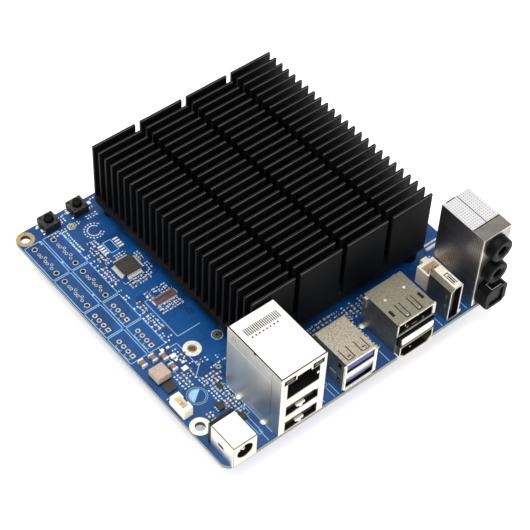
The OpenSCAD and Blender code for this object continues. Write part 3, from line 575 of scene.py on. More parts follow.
class Repeater:
    """Geometry Nodes trees that repeat one small part, each built once."""

    def __init__(self) -> None:
        """Builds the trees."""
        self.spots = self._spots_tree()
        self.rows = self._rows_tree()
        self.scatter = self._scatter_tree()

    @staticmethod
    def _tree(name: str, inputs: Sequence[tuple[str, str]]) -> NodeTree:
        """Makes an empty tree with a geometry input, named inputs and a geometry output.

        Args:
            name: name of the tree.
            inputs: name and socket type of each input.

        Returns:
            The tree.
        """
        tree = bpy.data.node_groups.new(name, "GeometryNodeTree")
        for label, kind in [("Geometry", "NodeSocketGeometry"), *inputs]:
            tree.interface.new_socket(label, in_out="INPUT", socket_type=kind)
        tree.interface.new_socket("Geometry", in_out="OUTPUT", socket_type="NodeSocketGeometry")
        return tree

    @staticmethod
    def _close(tree: NodeTree, entry: Node, many: Node) -> None:
        """Realizes instances, sets their material and ends the tree.

        Args:
            tree: the tree.
            entry: its group input.
            many: the node that makes the instances.
        """
        real = add(tree, "GeometryNodeRealizeInstances", {"Geometry": many.outputs["Instances"]})
        dressed = add(tree, "GeometryNodeSetMaterial", {
            "Geometry": real.outputs[0], "Material": entry.outputs["Finish"]})
        add(tree, "NodeGroupOutput", {0: dressed.outputs[0]})

    def _spots_tree(self) -> NodeTree:
        """Builds the tree that puts the unit on each vertex, with its own turn and scale.

        Returns:
            The tree.
        """
        tree = self._tree("part on each spot", [
            ("Unit", "NodeSocketObject"), ("Finish", "NodeSocketMaterial")])
        entry = add(tree, "NodeGroupInput")
        unit = add(tree, "GeometryNodeObjectInfo", {"Object": entry.outputs["Unit"]})
        angle = add(tree, "GeometryNodeInputNamedAttribute", {"Name": "turn"}, data_type="FLOAT")
        size = add(tree, "GeometryNodeInputNamedAttribute", {"Name": "size"}, data_type="FLOAT_VECTOR")
        euler = add(tree, "ShaderNodeCombineXYZ", {"Z": angle.outputs[0]})
        rotation = add(tree, "FunctionNodeEulerToRotation", {0: euler.outputs[0]})
        many = add(tree, "GeometryNodeInstanceOnPoints", {
            "Points": entry.outputs["Geometry"], "Instance": unit.outputs["Geometry"],
            "Rotation": rotation.outputs[0], "Scale": size.outputs[0]})
        self._close(tree, entry, many)
        return tree

    def _rows_tree(self) -> NodeTree:
        """Builds the tree that repeats the unit in rows and columns from a first place.

        Returns:
            The tree.
        """
        tree = self._tree("rows and columns", [
            ("Unit", "NodeSocketObject"), ("Finish", "NodeSocketMaterial"), ("First", "NodeSocketVector"),
            ("Columns", "NodeSocketInt"), ("Column step", "NodeSocketVector"),
            ("Rows", "NodeSocketInt"), ("Row step", "NodeSocketVector")])
        entry = add(tree, "NodeGroupInput")
        unit = add(tree, "GeometryNodeObjectInfo", {"Object": entry.outputs["Unit"]})
        column = add(tree, "GeometryNodeMeshLine", {
            "Count": entry.outputs["Columns"], "Start Location": entry.outputs["First"],
            "Offset": entry.outputs["Column step"]})
        row = add(tree, "GeometryNodeMeshLine", {
            "Count": entry.outputs["Rows"], "Offset": entry.outputs["Row step"]})
        grid = add(tree, "GeometryNodeInstanceOnPoints", {
            "Points": row.outputs[0], "Instance": column.outputs[0]})
        points = add(tree, "GeometryNodeRealizeInstances", {"Geometry": grid.outputs["Instances"]})
        many = add(tree, "GeometryNodeInstanceOnPoints", {
            "Points": points.outputs[0], "Instance": unit.outputs["Geometry"]})
        self._close(tree, entry, many)
        return tree

    def _scatter_tree(self) -> NodeTree:
        """Builds the tree that strews the unit over flat areas, with a fixed seed.

        Returns:
            The tree.
        """
        tree = self._tree("strewn over areas", [
            ("Unit", "NodeSocketObject"), ("Finish", "NodeSocketMaterial"), ("Gap", "NodeSocketFloat"),
            ("Density", "NodeSocketFloat"), ("Seed", "NodeSocketInt")])
        entry = add(tree, "NodeGroupInput")
        unit = add(tree, "GeometryNodeObjectInfo", {"Object": entry.outputs["Unit"]})
        points = add(tree, "GeometryNodeDistributePointsOnFaces", {
            "Mesh": entry.outputs["Geometry"], "Distance Min": entry.outputs["Gap"],
            "Density Max": entry.outputs["Density"], "Seed": entry.outputs["Seed"]},
            distribute_method="POISSON")
        many = add(tree, "GeometryNodeInstanceOnPoints", {
            "Points": points.outputs[0], "Instance": unit.outputs["Geometry"]})
        self._close(tree, entry, many)
        return tree

    @staticmethod
    def _run(tree: NodeTree, base: Mesh, unit: Workpiece, finish: Finish,
             values: dict[str, Any]) -> Mesh:
        """Runs a tree on a base mesh and gives back the plain result.

        Args:
            tree: the tree.
            base: the mesh that the tree starts from.
            unit: the part that is repeated, round its own origin.
            finish: finish of every copy.
            values: the tree's other inputs, by name.

        Returns:
            The mesh.
        """
        small = bpy.data.objects.new("unit", unit.data("unit", local=True))
        host = bpy.data.objects.new("host", base)
        for made in (small, host):
            show(made)
        modifier = host.modifiers.new("repeat", "NODES")
        modifier.node_group = tree
        values = {"Unit": small, "Finish": finish.material(), **values}
        for socket in tree.interface.items_tree:
            if socket.in_out == "INPUT" and socket.name in values:
                modifier[socket.identifier] = values[socket.name]
        host.update_tag()
        done = evaluated(host)
        bpy.data.objects.remove(host)
        bpy.data.objects.remove(small)
        return done

    def on_spots(self, spots: Sequence[Sequence[float]], unit: Workpiece, name: str, finish: Finish,
                 slot: str, body: str = "main", stands_for: Sequence[str] = ()) -> None:
        """Repeats a part on chosen spots.

        Args:
            spots: x, y and z of each copy, and then if need be its turn in degrees and its three scales.
            unit: the part, round its own origin.
            name: name of the piece.
            finish: its finish.
            slot: its material slot; not used.
            body: its CAD body.
            stands_for: CAD nodes that it replaces.
        """
        base = bpy.data.meshes.new("spots")
        base.from_pydata([place(*s[:3]) for s in spots], [], [])
        turn = base.attributes.new("turn", "FLOAT", "POINT")
        turn.data.foreach_set("value", [math.radians(s[3]) if len(s) > 3 else 0.0 for s in spots])
        size = base.attributes.new("size", "FLOAT_VECTOR", "POINT")
        scales = [tuple(s[4:7]) if len(s) > 4 else (1.0, 1.0, 1.0) for s in spots]
        size.data.foreach_set("vector", [c for s in scales for c in s])
        done = self._run(self.spots, base, unit, finish, {})
        settle(done, name, finish, body, stands_for)

    def in_rows(self, first: Sequence[float], columns: tuple[int, Sequence[float]],
                rows: tuple[int, Sequence[float]], unit: Workpiece, name: str, finish: Finish, slot: str,
                stands_for: Sequence[str] = ()) -> None:
        """Repeats a part in rows and columns.

        Args:
            first: place of the first copy.
            columns: how many copies a row holds and the step between them.
            rows: how many rows there are and the step between them.
            unit: the part, round its own origin.
            name: name of the piece.
            finish: its finish.
            slot: its material slot; not used.
            stands_for: CAD nodes that it replaces.
        """
        values = {"First": place(*first), "Columns": columns[0], "Column step": Vector(columns[1]) * MM,
                  "Rows": rows[0], "Row step": Vector(rows[1]) * MM}
        base = bpy.data.meshes.new("start")
        done = self._run(self.rows, base, unit, finish, values)
        settle(done, name, finish, "main", stands_for)

    def strewn(self, areas: Sequence[tuple[Range, Range]], z: float, gap: float, density: float,
               unit: Workpiece, name: str, finish: Finish, slot: str) -> None:
        """Strews a part over flat areas.

        Args:
            areas: range in x and in y of each area.
            z: height of the areas.
            gap: least distance between copies, in millimetres.
            density: most copies for each square millimetre.
            unit: the part, round its own origin.
            name: name of the piece.
            finish: its finish.
            slot: its material slot; not used.
        """
        corners, faces = [], []
        for x, y in areas:
            start = len(corners)
            corners += [place(x[i], y[j], z) for i, j in ((0, 0), (1, 0), (1, 1), (0, 1))]
            faces.append(list(range(start, start + 4)))
        base = bpy.data.meshes.new("areas")
        base.from_pydata(corners, [], faces)
        values = {"Gap": gap * MM, "Density": density / MM ** 2, "Seed": SEED}
        done = self._run(self.scatter, base, unit, finish, values)
        settle(done, name, finish, "main", ())


def ring(outer: float, inner: float, height: float, sides: int = 20) -> Workpiece:
    """Returns a flat drilled ring round its own origin, with its lower face at zero."""
    profile = [(inner, 0), (outer, 0), (outer, height), (inner, height)]
    return Workpiece().turned(ORIGIN, profile, sides=sides)


def disc(radius: float, height: float, sides: int = 16) -> Workpiece:
    """Returns a flat disc round its own origin, with its lower face at zero."""
    return Workpiece().turned(ORIGIN, [(0, 0), (radius, 0), (radius, height), (0, height)], sides=sides)


def slab(w: float, d: float, h: float, z: float = 0.0) -> Workpiece:
    """Returns a block centred on its own origin, from a height upwards."""
    return Workpiece().block((-w / 2, w / 2), (-d / 2, d / 2), (z, z + h))


# -------- board


LEGEND_H = 0.03
LEGEND_Z = (0.0, LEGEND_H)
LEGEND_SLOT = "label_paper"
TRACK_Z = (0.0, 0.015)
PAD_H = 0.05
FINE_LINE = 0.2
MOUNT_R = 1.76
MOUNT_INSET = 3.4


@dataclass
class Board:
    """The bare board: lacquer, legend, drilled rings, tracks and solder joints."""

    repeat: Repeater
    line_w: float = 0.24
    port_line_w: float = 0.22
    outer_box: Range = (0.5, 7.2)
    inner_box: Range = (8.1, 14.8)
    data_rows: tuple[Range, ...] = ((95.6, 113.0), (78.0, 95.0))
    power_rows: tuple[Range, ...] = ((64.8, 77.4), (51.2, 64.2))
    data_pegs: tuple[Point, ...] = ((3.3, 97.7), (11.05, 97.5), (3.4, 79.9), (10.9, 79.8))
    peg_step: float = 13.1
    peg_r: float = 0.76
    pin_pitch: float = 1.27
    pins_per_data: int = 7
    power_pins: tuple[Point, ...] = ((2.9, 67.2), (10.4, 66.9), (2.95, 53.5), (10.5, 53.4))
    power_pitch: float = 2.5
    power_hole_r: float = 0.5
    # Dots between the data outlines, and the outline of the chip that isn't fitted.
    dots: tuple[Point, ...] = ((7.65, 100.4), (7.65, 82.4))
    empty_chip: tuple[Range, Range] = ((23.4, 26.6), (93.6, 99.0))
    empty_chip_line_w: float = 0.3
    # Corner of each tick round the control chip, with the way its two arms run.
    chip_ticks: tuple[Numbers, ...] = (
        (19.0, 91.4, 1.2, -1.2), (29.6, 79.4, -1.2, 1.2), (19.0, 79.4, 1.2, 1.2))
    # Open outlines of the storage card, the power parts and the network stack.
    storage_lines: tuple[tuple[Point, ...], ...] = (
        ((30.6, 68.9), (30.6, 69.2), (30.7, 69.2)), ((28.8, 51.0), (19.6, 51.0), (19.6, 69.4), (21.0, 69.4)))
    power_lines: tuple[tuple[Point, ...], ...] = (
        ((9.9, 39.4), (11.6, 43.4), (11.6, 51.0)), ((14.9, 49.0), (17.6, 49.0), (17.6, 37.0), (14.0, 34.0)))
    stack_line: tuple[Point, ...] = ((16.2, 30.6), (20.2, 26.0), (20.2, 2.4))
    round_part: Point = (9.9, 28.0)
    # Boxes of parts that aren't fitted: range in x and in y.
    part_boxes: tuple[tuple[Range, Range], ...] = (
        ((16.4, 17.8), (4.0, 11.8)), ((15.0, 19.4), (12.6, 16.0)), ((42.6, 46.2), (5.6, 8.0)))
    # Lines beside the ports: place in x, and both ends in y.
    port_lines: tuple[Numbers, ...] = (
        (17.4, 0.6, 5.4), (45.0, 0.5, 5.0), (46.8, 0.5, 5.6), (62.6, 0.6, 4.8), (68.7, 0.5, 5.6),
        (92.7, 0.5, 5.8), (41.0, 0.8, 9.0), (104.4, 1.0, 6.0))
    # Small gilded rings: place and scale.
    test_rings: tuple[Numbers, ...] = (
        (19.5, 111.9, 0.8), (30.4, 43.6, 1.05), (22.6, 33.0, 0.5))
    joint_spots: tuple[Point, ...] = ((20.15, 19.7), (20.5, 7.1), (39.4, 19.7), (39.2, 7.1), (48.0, 14.5),
                                      (61.9, 14.5), (71.0, 16.8), (88.6, 16.8))

    def build(self) -> None:
        """Builds everything on the bare board."""
        dress("board", MASK)
        self.legend()
        self.drilled_rings()
        self.data_footprints()
        self.power_footprints()
        self.tracks()
        self.vias()
        self.joints()

    def frame_line(self, work: Workpiece, x: Range, y: Range, width: float = 0.0) -> None:
        """Adds a rectangle's outline in legend ink.

        Args:
            work: the workpiece.
            x: the rectangle's range in x.
            y: its range in y.
            width: width of the line, or nothing for the usual one.
        """
        corners = [(x[0], y[0]), (x[1], y[0]), (x[1], y[1]), (x[0], y[1]), (x[0], y[0])]
        work.ribbon(corners, width or self.line_w, LEGEND_Z)

    def arc(self, centre: Point, radius: float, start: float, end: float, steps: int = 20) -> list[Point]:
        """Gives points along an arc.

        Args:
            centre: centre of the arc.
            radius: its radius.
            start: angle of its first point, in degrees.
            end: angle of its last point.
            steps: number of straight stretches.

        Returns:
            The points.
        """
        angles = [math.radians(start + (end - start) * i / steps) for i in range(steps + 1)]
        return [(centre[0] + radius * math.cos(a), centre[1] + radius * math.sin(a)) for a in angles]

    def legend(self) -> None:
        """Prints the outlines of parts, fitted or not, and lays two clips by the right edge."""
        work = Workpiece()
        for x in (self.outer_box, self.inner_box):
            for y in self.data_rows + self.power_rows:
                self.frame_line(work, x, y)
        for x, y in self.power_pins:
            for start in (y - 0.5, y + 4.2):
                near, far, end = x - 1.4, x - 2.1, start + 2.6
                work.ribbon([(near, start), (far, start), (far, end), (near, end)], FINE_LINE, LEGEND_Z)
        for x, y in self.dots:
            work.block((x - 0.4, x + 0.4), (y - 0.4, y + 0.4), LEGEND_Z)
        self.frame_line(work, *self.empty_chip, self.empty_chip_line_w)
        for x, y, along, up in self.chip_ticks:
            work.ribbon([(x, y + up), (x, y), (x + along, y)], FINE_LINE, LEGEND_Z)
        for path in self.storage_lines + self.power_lines:
            work.ribbon(path, self.line_w, LEGEND_Z)
        self.round_capacitor(work, self.round_part)
        for x, y in self.part_boxes:
            self.frame_line(work, x, y, FINE_LINE)
        for x, start, end in self.port_lines:
            work.ribbon([(x, start), (x, end)], self.port_line_w, LEGEND_Z)
        work.ribbon(self.stack_line, FINE_LINE, LEGEND_Z)
        work.piece("legend_print", INK, LEGEND_SLOT)
        bars = Workpiece()
        bars.block((110.2, 117.0), (27.2, 28.3), (0, 1.2)).block((110.6, 117.0), (29.2, 29.8), (0, 1.0))
        bars.soften(0.1, 1).piece("edge_clips", TIN, "tinned_steel")

    def round_capacitor(self, work: Workpiece, centre: Point) -> None:
        """Adds the outline of an unfitted round capacitor, half of it filled.

        Args:
            work: the workpiece.
            centre: centre of the capacitor.
        """
        for radius in (2.9, 3.5):
            work.ribbon(self.arc(centre, radius, 0, 360, 36), self.port_line_w, LEGEND_Z)
        work.prism(self.arc(centre, 2.65, 35, 215, 16), LEGEND_Z)

    def drilled_rings(self) -> None:
        """Puts plated rings and hole walls at the mounting holes, and small gilded rings."""
        left, right = MOUNT_INSET, BOARD_W - MOUNT_INSET
        back = BOARD_D - MOUNT_INSET
        gilded = ((left, back), (right, back), (right, 25.0))
        soldered = ((left, 18.0, 3.5, MOUNT_R), (20.3, 44.1, 3.2, 1.6))
        mounts = Workpiece()
        for x, y in gilded:
            mounts.turned((x, y, 0), [(MOUNT_R, -0.3), (MOUNT_R, PAD_H), (3.3, PAD_H), (3.3, 0)], sides=40)
        mounts.piece("gold_mount_rings", GOLD, "gold_plate")
        pale = Workpiece()
        for x, y, outer, inner in soldered:
            pale.turned((x, y, 0), [(inner, -0.3), (inner, PAD_H), (outer, PAD_H), (outer, 0)], sides=40)
        pale.piece("tinned_mount_rings", WHITE_RING, "tinned_steel")
        # The mounting holes' walls are lined with painted shade, dark as the inside of a hole looks.
        walls = Workpiece()
        for x, y in (*gilded, (left, 18.0)):
            walls.turned((x, y, 0), self.wall(1.70, MOUNT_R, 0.02), sides=40)
        walls.piece("mount_hole_walls", HOLE_PAINTED_SHADE, "gold_plate")
        small = [(x, y, 0, 0, size, size, 1) for x, y, size in self.test_rings]
        self.repeat.on_spots(small, ring(1.5, 0.6, PAD_H), "test_rings", GOLD, "gold_plate")
        # Each small ring's hole is closed by a disc of painted shade.
        self.repeat.on_spots(small, disc(0.6, LEGEND_H), "test_ring_holes", HOLE_PAINTED_SHADE, "gold_plate")
        halo = [(x, y, 0, 0, size * 1.3, size * 1.3, 1) for x, y, size in self.test_rings]
        self.repeat.on_spots(halo, ring(1.5, 1.3, LEGEND_H), "test_ring_halos", INK, LEGEND_SLOT)

    @staticmethod
    def wall(inner: float, outer: float, top: float) -> list[Point]:
        """Returns the profile of a sleeve that lines a hole through the board."""
        return [(inner, -BOARD_T), (inner, top), (outer, top), (outer, -BOARD_T)]

    def data_footprints(self) -> None:
        """Drills the four unfitted data connectors: two pegs and seven staggered pins each."""
        pegs = [(x, y + step, 0) for x, y in self.data_pegs for step in (0, self.peg_step)]
        self.repeat.on_spots(pegs, ring(1.02, self.peg_r, PAD_H, 24), "data_peg_rings", RING, "tinned_steel")
        # Each peg hole is lined with painted shade.
        sleeve = Workpiece().turned(ORIGIN, self.wall(0.70, self.peg_r + 0.01, 0.04), sides=24)
        self.repeat.on_spots(pegs, sleeve, "data_peg_walls", HOLE_PAINTED_SHADE, "gold_plate")
        pins = []
        for x, y in self.data_pegs:
            first = y + (self.peg_step - (self.pins_per_data - 1) * self.pin_pitch) / 2
            pins += [(x + (0.8 if i % 3 == 1 else -0.1), first + i * self.pin_pitch, 0)
                     for i in range(self.pins_per_data)]
        self.repeat.on_spots(pins, ring(0.58, 0.36, PAD_H, 14), "data_pin_rings", RING, "tinned_steel")
        # Each pin hole is closed by a disc of painted shade.
        self.repeat.on_spots(pins, disc(0.36, LEGEND_H, 10), "data_pin_holes", HOLE_PAINTED_SHADE, "gold_plate")

    def power_footprints(self) -> None:
        """Drills the four unfitted power connectors: three round pads and a square one each."""
        pins = [(x, y + i * self.power_pitch, 0) for x, y in self.power_pins for i in range(4)]
        rounds = [p for i, p in enumerate(pins) if i % 4]
        squares = [p for i, p in enumerate(pins) if i % 4 == 0]
        self.repeat.on_spots(rounds, ring(0.88, self.power_hole_r, PAD_H), "power_pin_rings", RING,
                             "tinned_steel")
        square = Workpiece().block((-0.82, 0.82), (-0.82, 0.82), (0, PAD_H))
        self.repeat.on_spots(squares, square, "power_square_pads", RING, "tinned_steel")
        # Each power pin hole is closed by a disc of painted shade.
        self.repeat.on_spots(pins, disc(self.power_hole_r, PAD_H + 0.01), "power_pin_holes", HOLE_PAINTED_SHADE,
                             "gold_plate")

    def tracks(self) -> None:
        """Lays bundles of tracks with slanted bends under the lacquer."""
        work = Workpiece()
        # Path of each bundle's first track, then how many tracks it has and their pitch.
        bundles = (
            ((15.8, 113.0), (15.8, 96.0), (18.0, 93.8), (18.0, 72.0), (16.2, 70.2), (16.2, 52.0), 5, 0.55),
            ((29.9, 88.0), (33.0, 88.0), 9, 0.55), ((29.9, 62.0), (33.0, 62.0), 7, 0.55),
            ((20.6, 78.6), (20.6, 74.6), (22.2, 73.0), 7, 0.6),
            ((31.6, 40.2), (24.0, 40.2), (22.0, 38.2), (22.0, 30.0), 5, 0.6),
            ((48.0, 20.0), (48.0, 27.0), 4, 0.6), ((63.0, 18.2), (63.0, 27.0), 8, 0.6),
            ((89.0, 17.0), (89.0, 27.0), 9, 0.6), ((31.0, 115.4), (9.0, 115.4), 2, 0.6),
            ((110.0, 36.0), (110.0, 108.0), 8, 0.7))
        for *path, count, pitch in bundles:
            ahead = Vector(path[1]) - Vector(path[0])
            runs_back = abs(ahead.y) > abs(ahead.x)
            side = Vector((ahead.y, -ahead.x)).normalized() if runs_back else Vector((0, -1))
            for i in range(count):
                shift = side * i * pitch
                work.ribbon([(x + shift.x, y + shift.y) for x, y in path], FINE_LINE, TRACK_Z)
        work.piece("tracks", TRACK, "blue_solder_mask")

    def vias(self) -> None:
        """Strews small lacquered holes over the open areas."""
        areas = [((15.4, 18.6), (53, 112)), ((19.6, 29.6), (53.0, 61.0)), ((20.0, 30.0), (28.0, 42.0)),
                 ((41.0, 47.5), (16.0, 26.0)), ((62.8, 70.5), (16.5, 26.0)), ((89.0, 97.0), (11.0, 26.0)),
                 ((109.5, 118.0), (36, 110)), ((7.0, 18.0), (13.5, 22.0))]
        self.repeat.strewn(areas, 0.0, 1.1, 0.35, ring(0.26, 0.1, LEGEND_H, 8), "vias", TRACK,
                           "blue_solder_mask")

    def joints(self) -> None:
        """Lays a rounded solder joint where each shield leg comes up through the board."""
        dome = [(0, 0), (1.1, 0), (0.95, 0.15), (0.55, 0.45), (0, 0.55)]
        spots = [(x, y, 0) for x, y in self.joint_spots]
        self.repeat.on_spots(spots, Workpiece().turned(ORIGIN, dome, sides=16), "shield_solder_joints",
                             SOLDER, "tinned_steel")


# -------- small parts


@dataclass(frozen=True)
class Cluster:
    """An area of small two-ended parts in rows."""

    x: Range
    y: Range
    step: Point
    turn: float = 0.0
    fitted: float = 0.5
    kept: float = 0.8
    jitter: float = 0.12


class Fit(Enum):
    """What stands on a pair of pads."""

    BARE = 0
    CAPACITOR = 1
    RESISTOR = 2


@dataclass
class SmallParts:
    """Capacitors, resistors and bare pad pairs in clusters over the board."""

    repeat: Repeater
    clusters: tuple[Cluster, ...] = (
        Cluster((19.6, 22.0), (99.6, 102.4), (1.7, 1.1), 0, 0.1),
        Cluster((18.6, 20.6), (92.6, 98.6), (1.8, 1.2), 0, 0.3),
        Cluster((20.0, 28.4), (91.2, 92.0), (1.1, 1.8), 90, 0.7),
        Cluster((17.3, 18.2), (81.0, 89.6), (1.8, 1.15), 0, 0.4),
        Cluster((30.2, 31.0), (80.6, 89.6), (1.8, 1.15), 0, 0.6),
        Cluster((20.2, 29.0), (77.2, 79.2), (1.1, 1.7), 90, 0.5),
        Cluster((21.6, 30.2), (69.6, 72.4), (1.0, 1.9), 90, 0.35),
        Cluster((21.6, 30.2), (62.2, 64.2), (1.0, 1.8), 90, 0.35),
        Cluster((15.8, 17.2), (96.4, 111.2), (1.8, 1.05), 0, 0.1, 0.7),
        Cluster((15.8, 17.2), (73.0, 94.0), (1.8, 1.05), 0, 0.2, 0.65),
        Cluster((15.8, 18.2), (51.6, 71.0), (1.8, 1.1), 0, 0.2, 0.7),
        Cluster((8.6, 15.4), (33.2, 39.0), (1.4, 1.5), 90, 0.45, 0.75),
        Cluster((13.6, 16.8), (39.8, 48.0), (1.5, 1.5), 0, 0.4, 0.6),
        Cluster((14.8, 19.6), (14.8, 32.4), (1.55, 1.25), 0, 0.6, 0.85),
        Cluster((7.8, 9.4), (16.6, 22.4), (1.5, 1.5), 90, 0.4, 0.5),
        Cluster((1.4, 6.4), (31.8, 33.4), (1.3, 1.7), 90, 0.5),
        Cluster((21.0, 29.4), (29.2, 36.2), (1.9, 1.7), 0, 0.4, 0.4),
        Cluster((18.0, 26.0), (36.6, 39.4), (1.7, 1.6), 90, 0.5, 0.5),
        Cluster((40.6, 47.2), (15.8, 26.0), (1.6, 1.25), 0, 0.6, 0.85),
        Cluster((63.0, 70.4), (7.0, 25.8), (1.6, 1.35), 90, 0.6, 0.8),
        Cluster((56.0, 69.0), (20.6, 27.4), (1.9, 1.5), 0, 0.7, 0.85),
        Cluster((70.4, 79.6), (21.6, 27.4), (1.8, 1.5), 90, 0.7, 0.85),
        Cluster((89.4, 95.6), (20.2, 26.0), (1.5, 1.4), 90, 0.6, 0.8),
        Cluster((106.8, 113.0), (22.0, 25.8), (1.5, 1.4), 90, 0.6, 0.8),
        Cluster((110.0, 117.4), (38.0, 112.0), (2.6, 3.2), 90, 0.5, 0.5),
        Cluster((6.6, 30.0), (111.9, 113.2), (1.3, 1.5), 90, 0.3, 0.6),
        Cluster((17.2, 21.4), (115.4, 118.2), (1.5, 1.2), 0, 0.3, 0.7),
        Cluster((30.0, 100.0), (115.4, 118.4), (2.6, 1.5), 0, 0.4, 0.5))
    half_pad: float = 0.52
    ring_centre: Point = (24.6, 105.6)
    ring_r: float = 2.9
    ring_count: int = 15

    def lay_out(self) -> dict[Fit, list[tuple[float, ...]]]:
        """Chooses what stands on each spot, the same way each time.

        Returns:
            The spots of each kind of part.
        """
        chance = random.Random(SEED)
        spots: dict[Fit, list[tuple[float, ...]]] = {kind: [] for kind in Fit}
        for area in self.clusters:
            columns = max(1, int((area.x[1] - area.x[0]) / area.step[0]) + 1)
            rows = max(1, int((area.y[1] - area.y[0]) / area.step[1]) + 1)
            for i in range(columns * rows):
                x = area.x[0] + (i % columns) * area.step[0] + chance.uniform(-area.jitter, area.jitter)
                y = area.y[0] + (i // columns) * area.step[1] + chance.uniform(-area.jitter, area.jitter)
                keep, fitted, dark = chance.random(), chance.random(), chance.random()
                if keep > area.kept:
                    continue
                kind = Fit.BARE if fitted > area.fitted else (Fit.RESISTOR if dark < 0.4 else Fit.CAPACITOR)
                grown = chance.uniform(0.9, 1.35)
                spots[kind].append((x, y, 0.0, area.turn, grown, grown, 1.0))
        for i in range(self.ring_count):
            angle = 2 * math.pi * i / (self.ring_count + 3) + 0.6
            x = self.ring_centre[0] + self.ring_r * math.cos(angle)
            y = self.ring_centre[1] + self.ring_r * math.sin(angle)
            spots[Fit.BARE].append((x, y, 0.0, math.degrees(angle), 1.05, 1.0, 1.0))
        return spots

    def two_ends(self, w: float, d: float, h: float) -> Workpiece:
        """Makes a pair of ends, one on either side of the origin.

        Args:
            w: width of one end.
            d: its depth.
            h: its height.

        Returns:
            The workpiece.
        """
        work = Workpiece()
        for side in (-1, 1):
            work.block((side * self.half_pad - w / 2, side * self.half_pad + w / 2), (-d / 2, d / 2), (0, h))
        return work

    def build(self) -> None:
        """Builds pads, bodies and end caps."""
        spots = self.lay_out()
        every = [s for kind in Fit for s in spots[kind]]
        fitted = spots[Fit.CAPACITOR] + spots[Fit.RESISTOR]
        self.repeat.on_spots(every, self.two_ends(0.44, 0.56, PAD_H), "part_pads", TIN, "tinned_steel")
        self.repeat.on_spots(fitted, self.two_ends(0.26, 0.54, 0.44), "part_end_caps", TIN, "tinned_steel")
        self.repeat.on_spots(spots[Fit.CAPACITOR], slab(0.8, 0.5, 0.42, 0.04).soften(0.04, 1),
                             "small_capacitors", CERAMIC, "capacitor_ceramic")
        self.repeat.on_spots(spots[Fit.RESISTOR], slab(0.8, 0.5, 0.34, 0.04), "small_resistors",
                             RESISTIVE, "chip_epoxy")
        ticks = [(s[0] + 0.95, s[1] + 0.1, 0.0, s[3]) for s in every[::3]]
        self.repeat.on_spots(ticks, slab(0.5, 0.2, 0.03), "part_ticks", INK, LEGEND_SLOT)


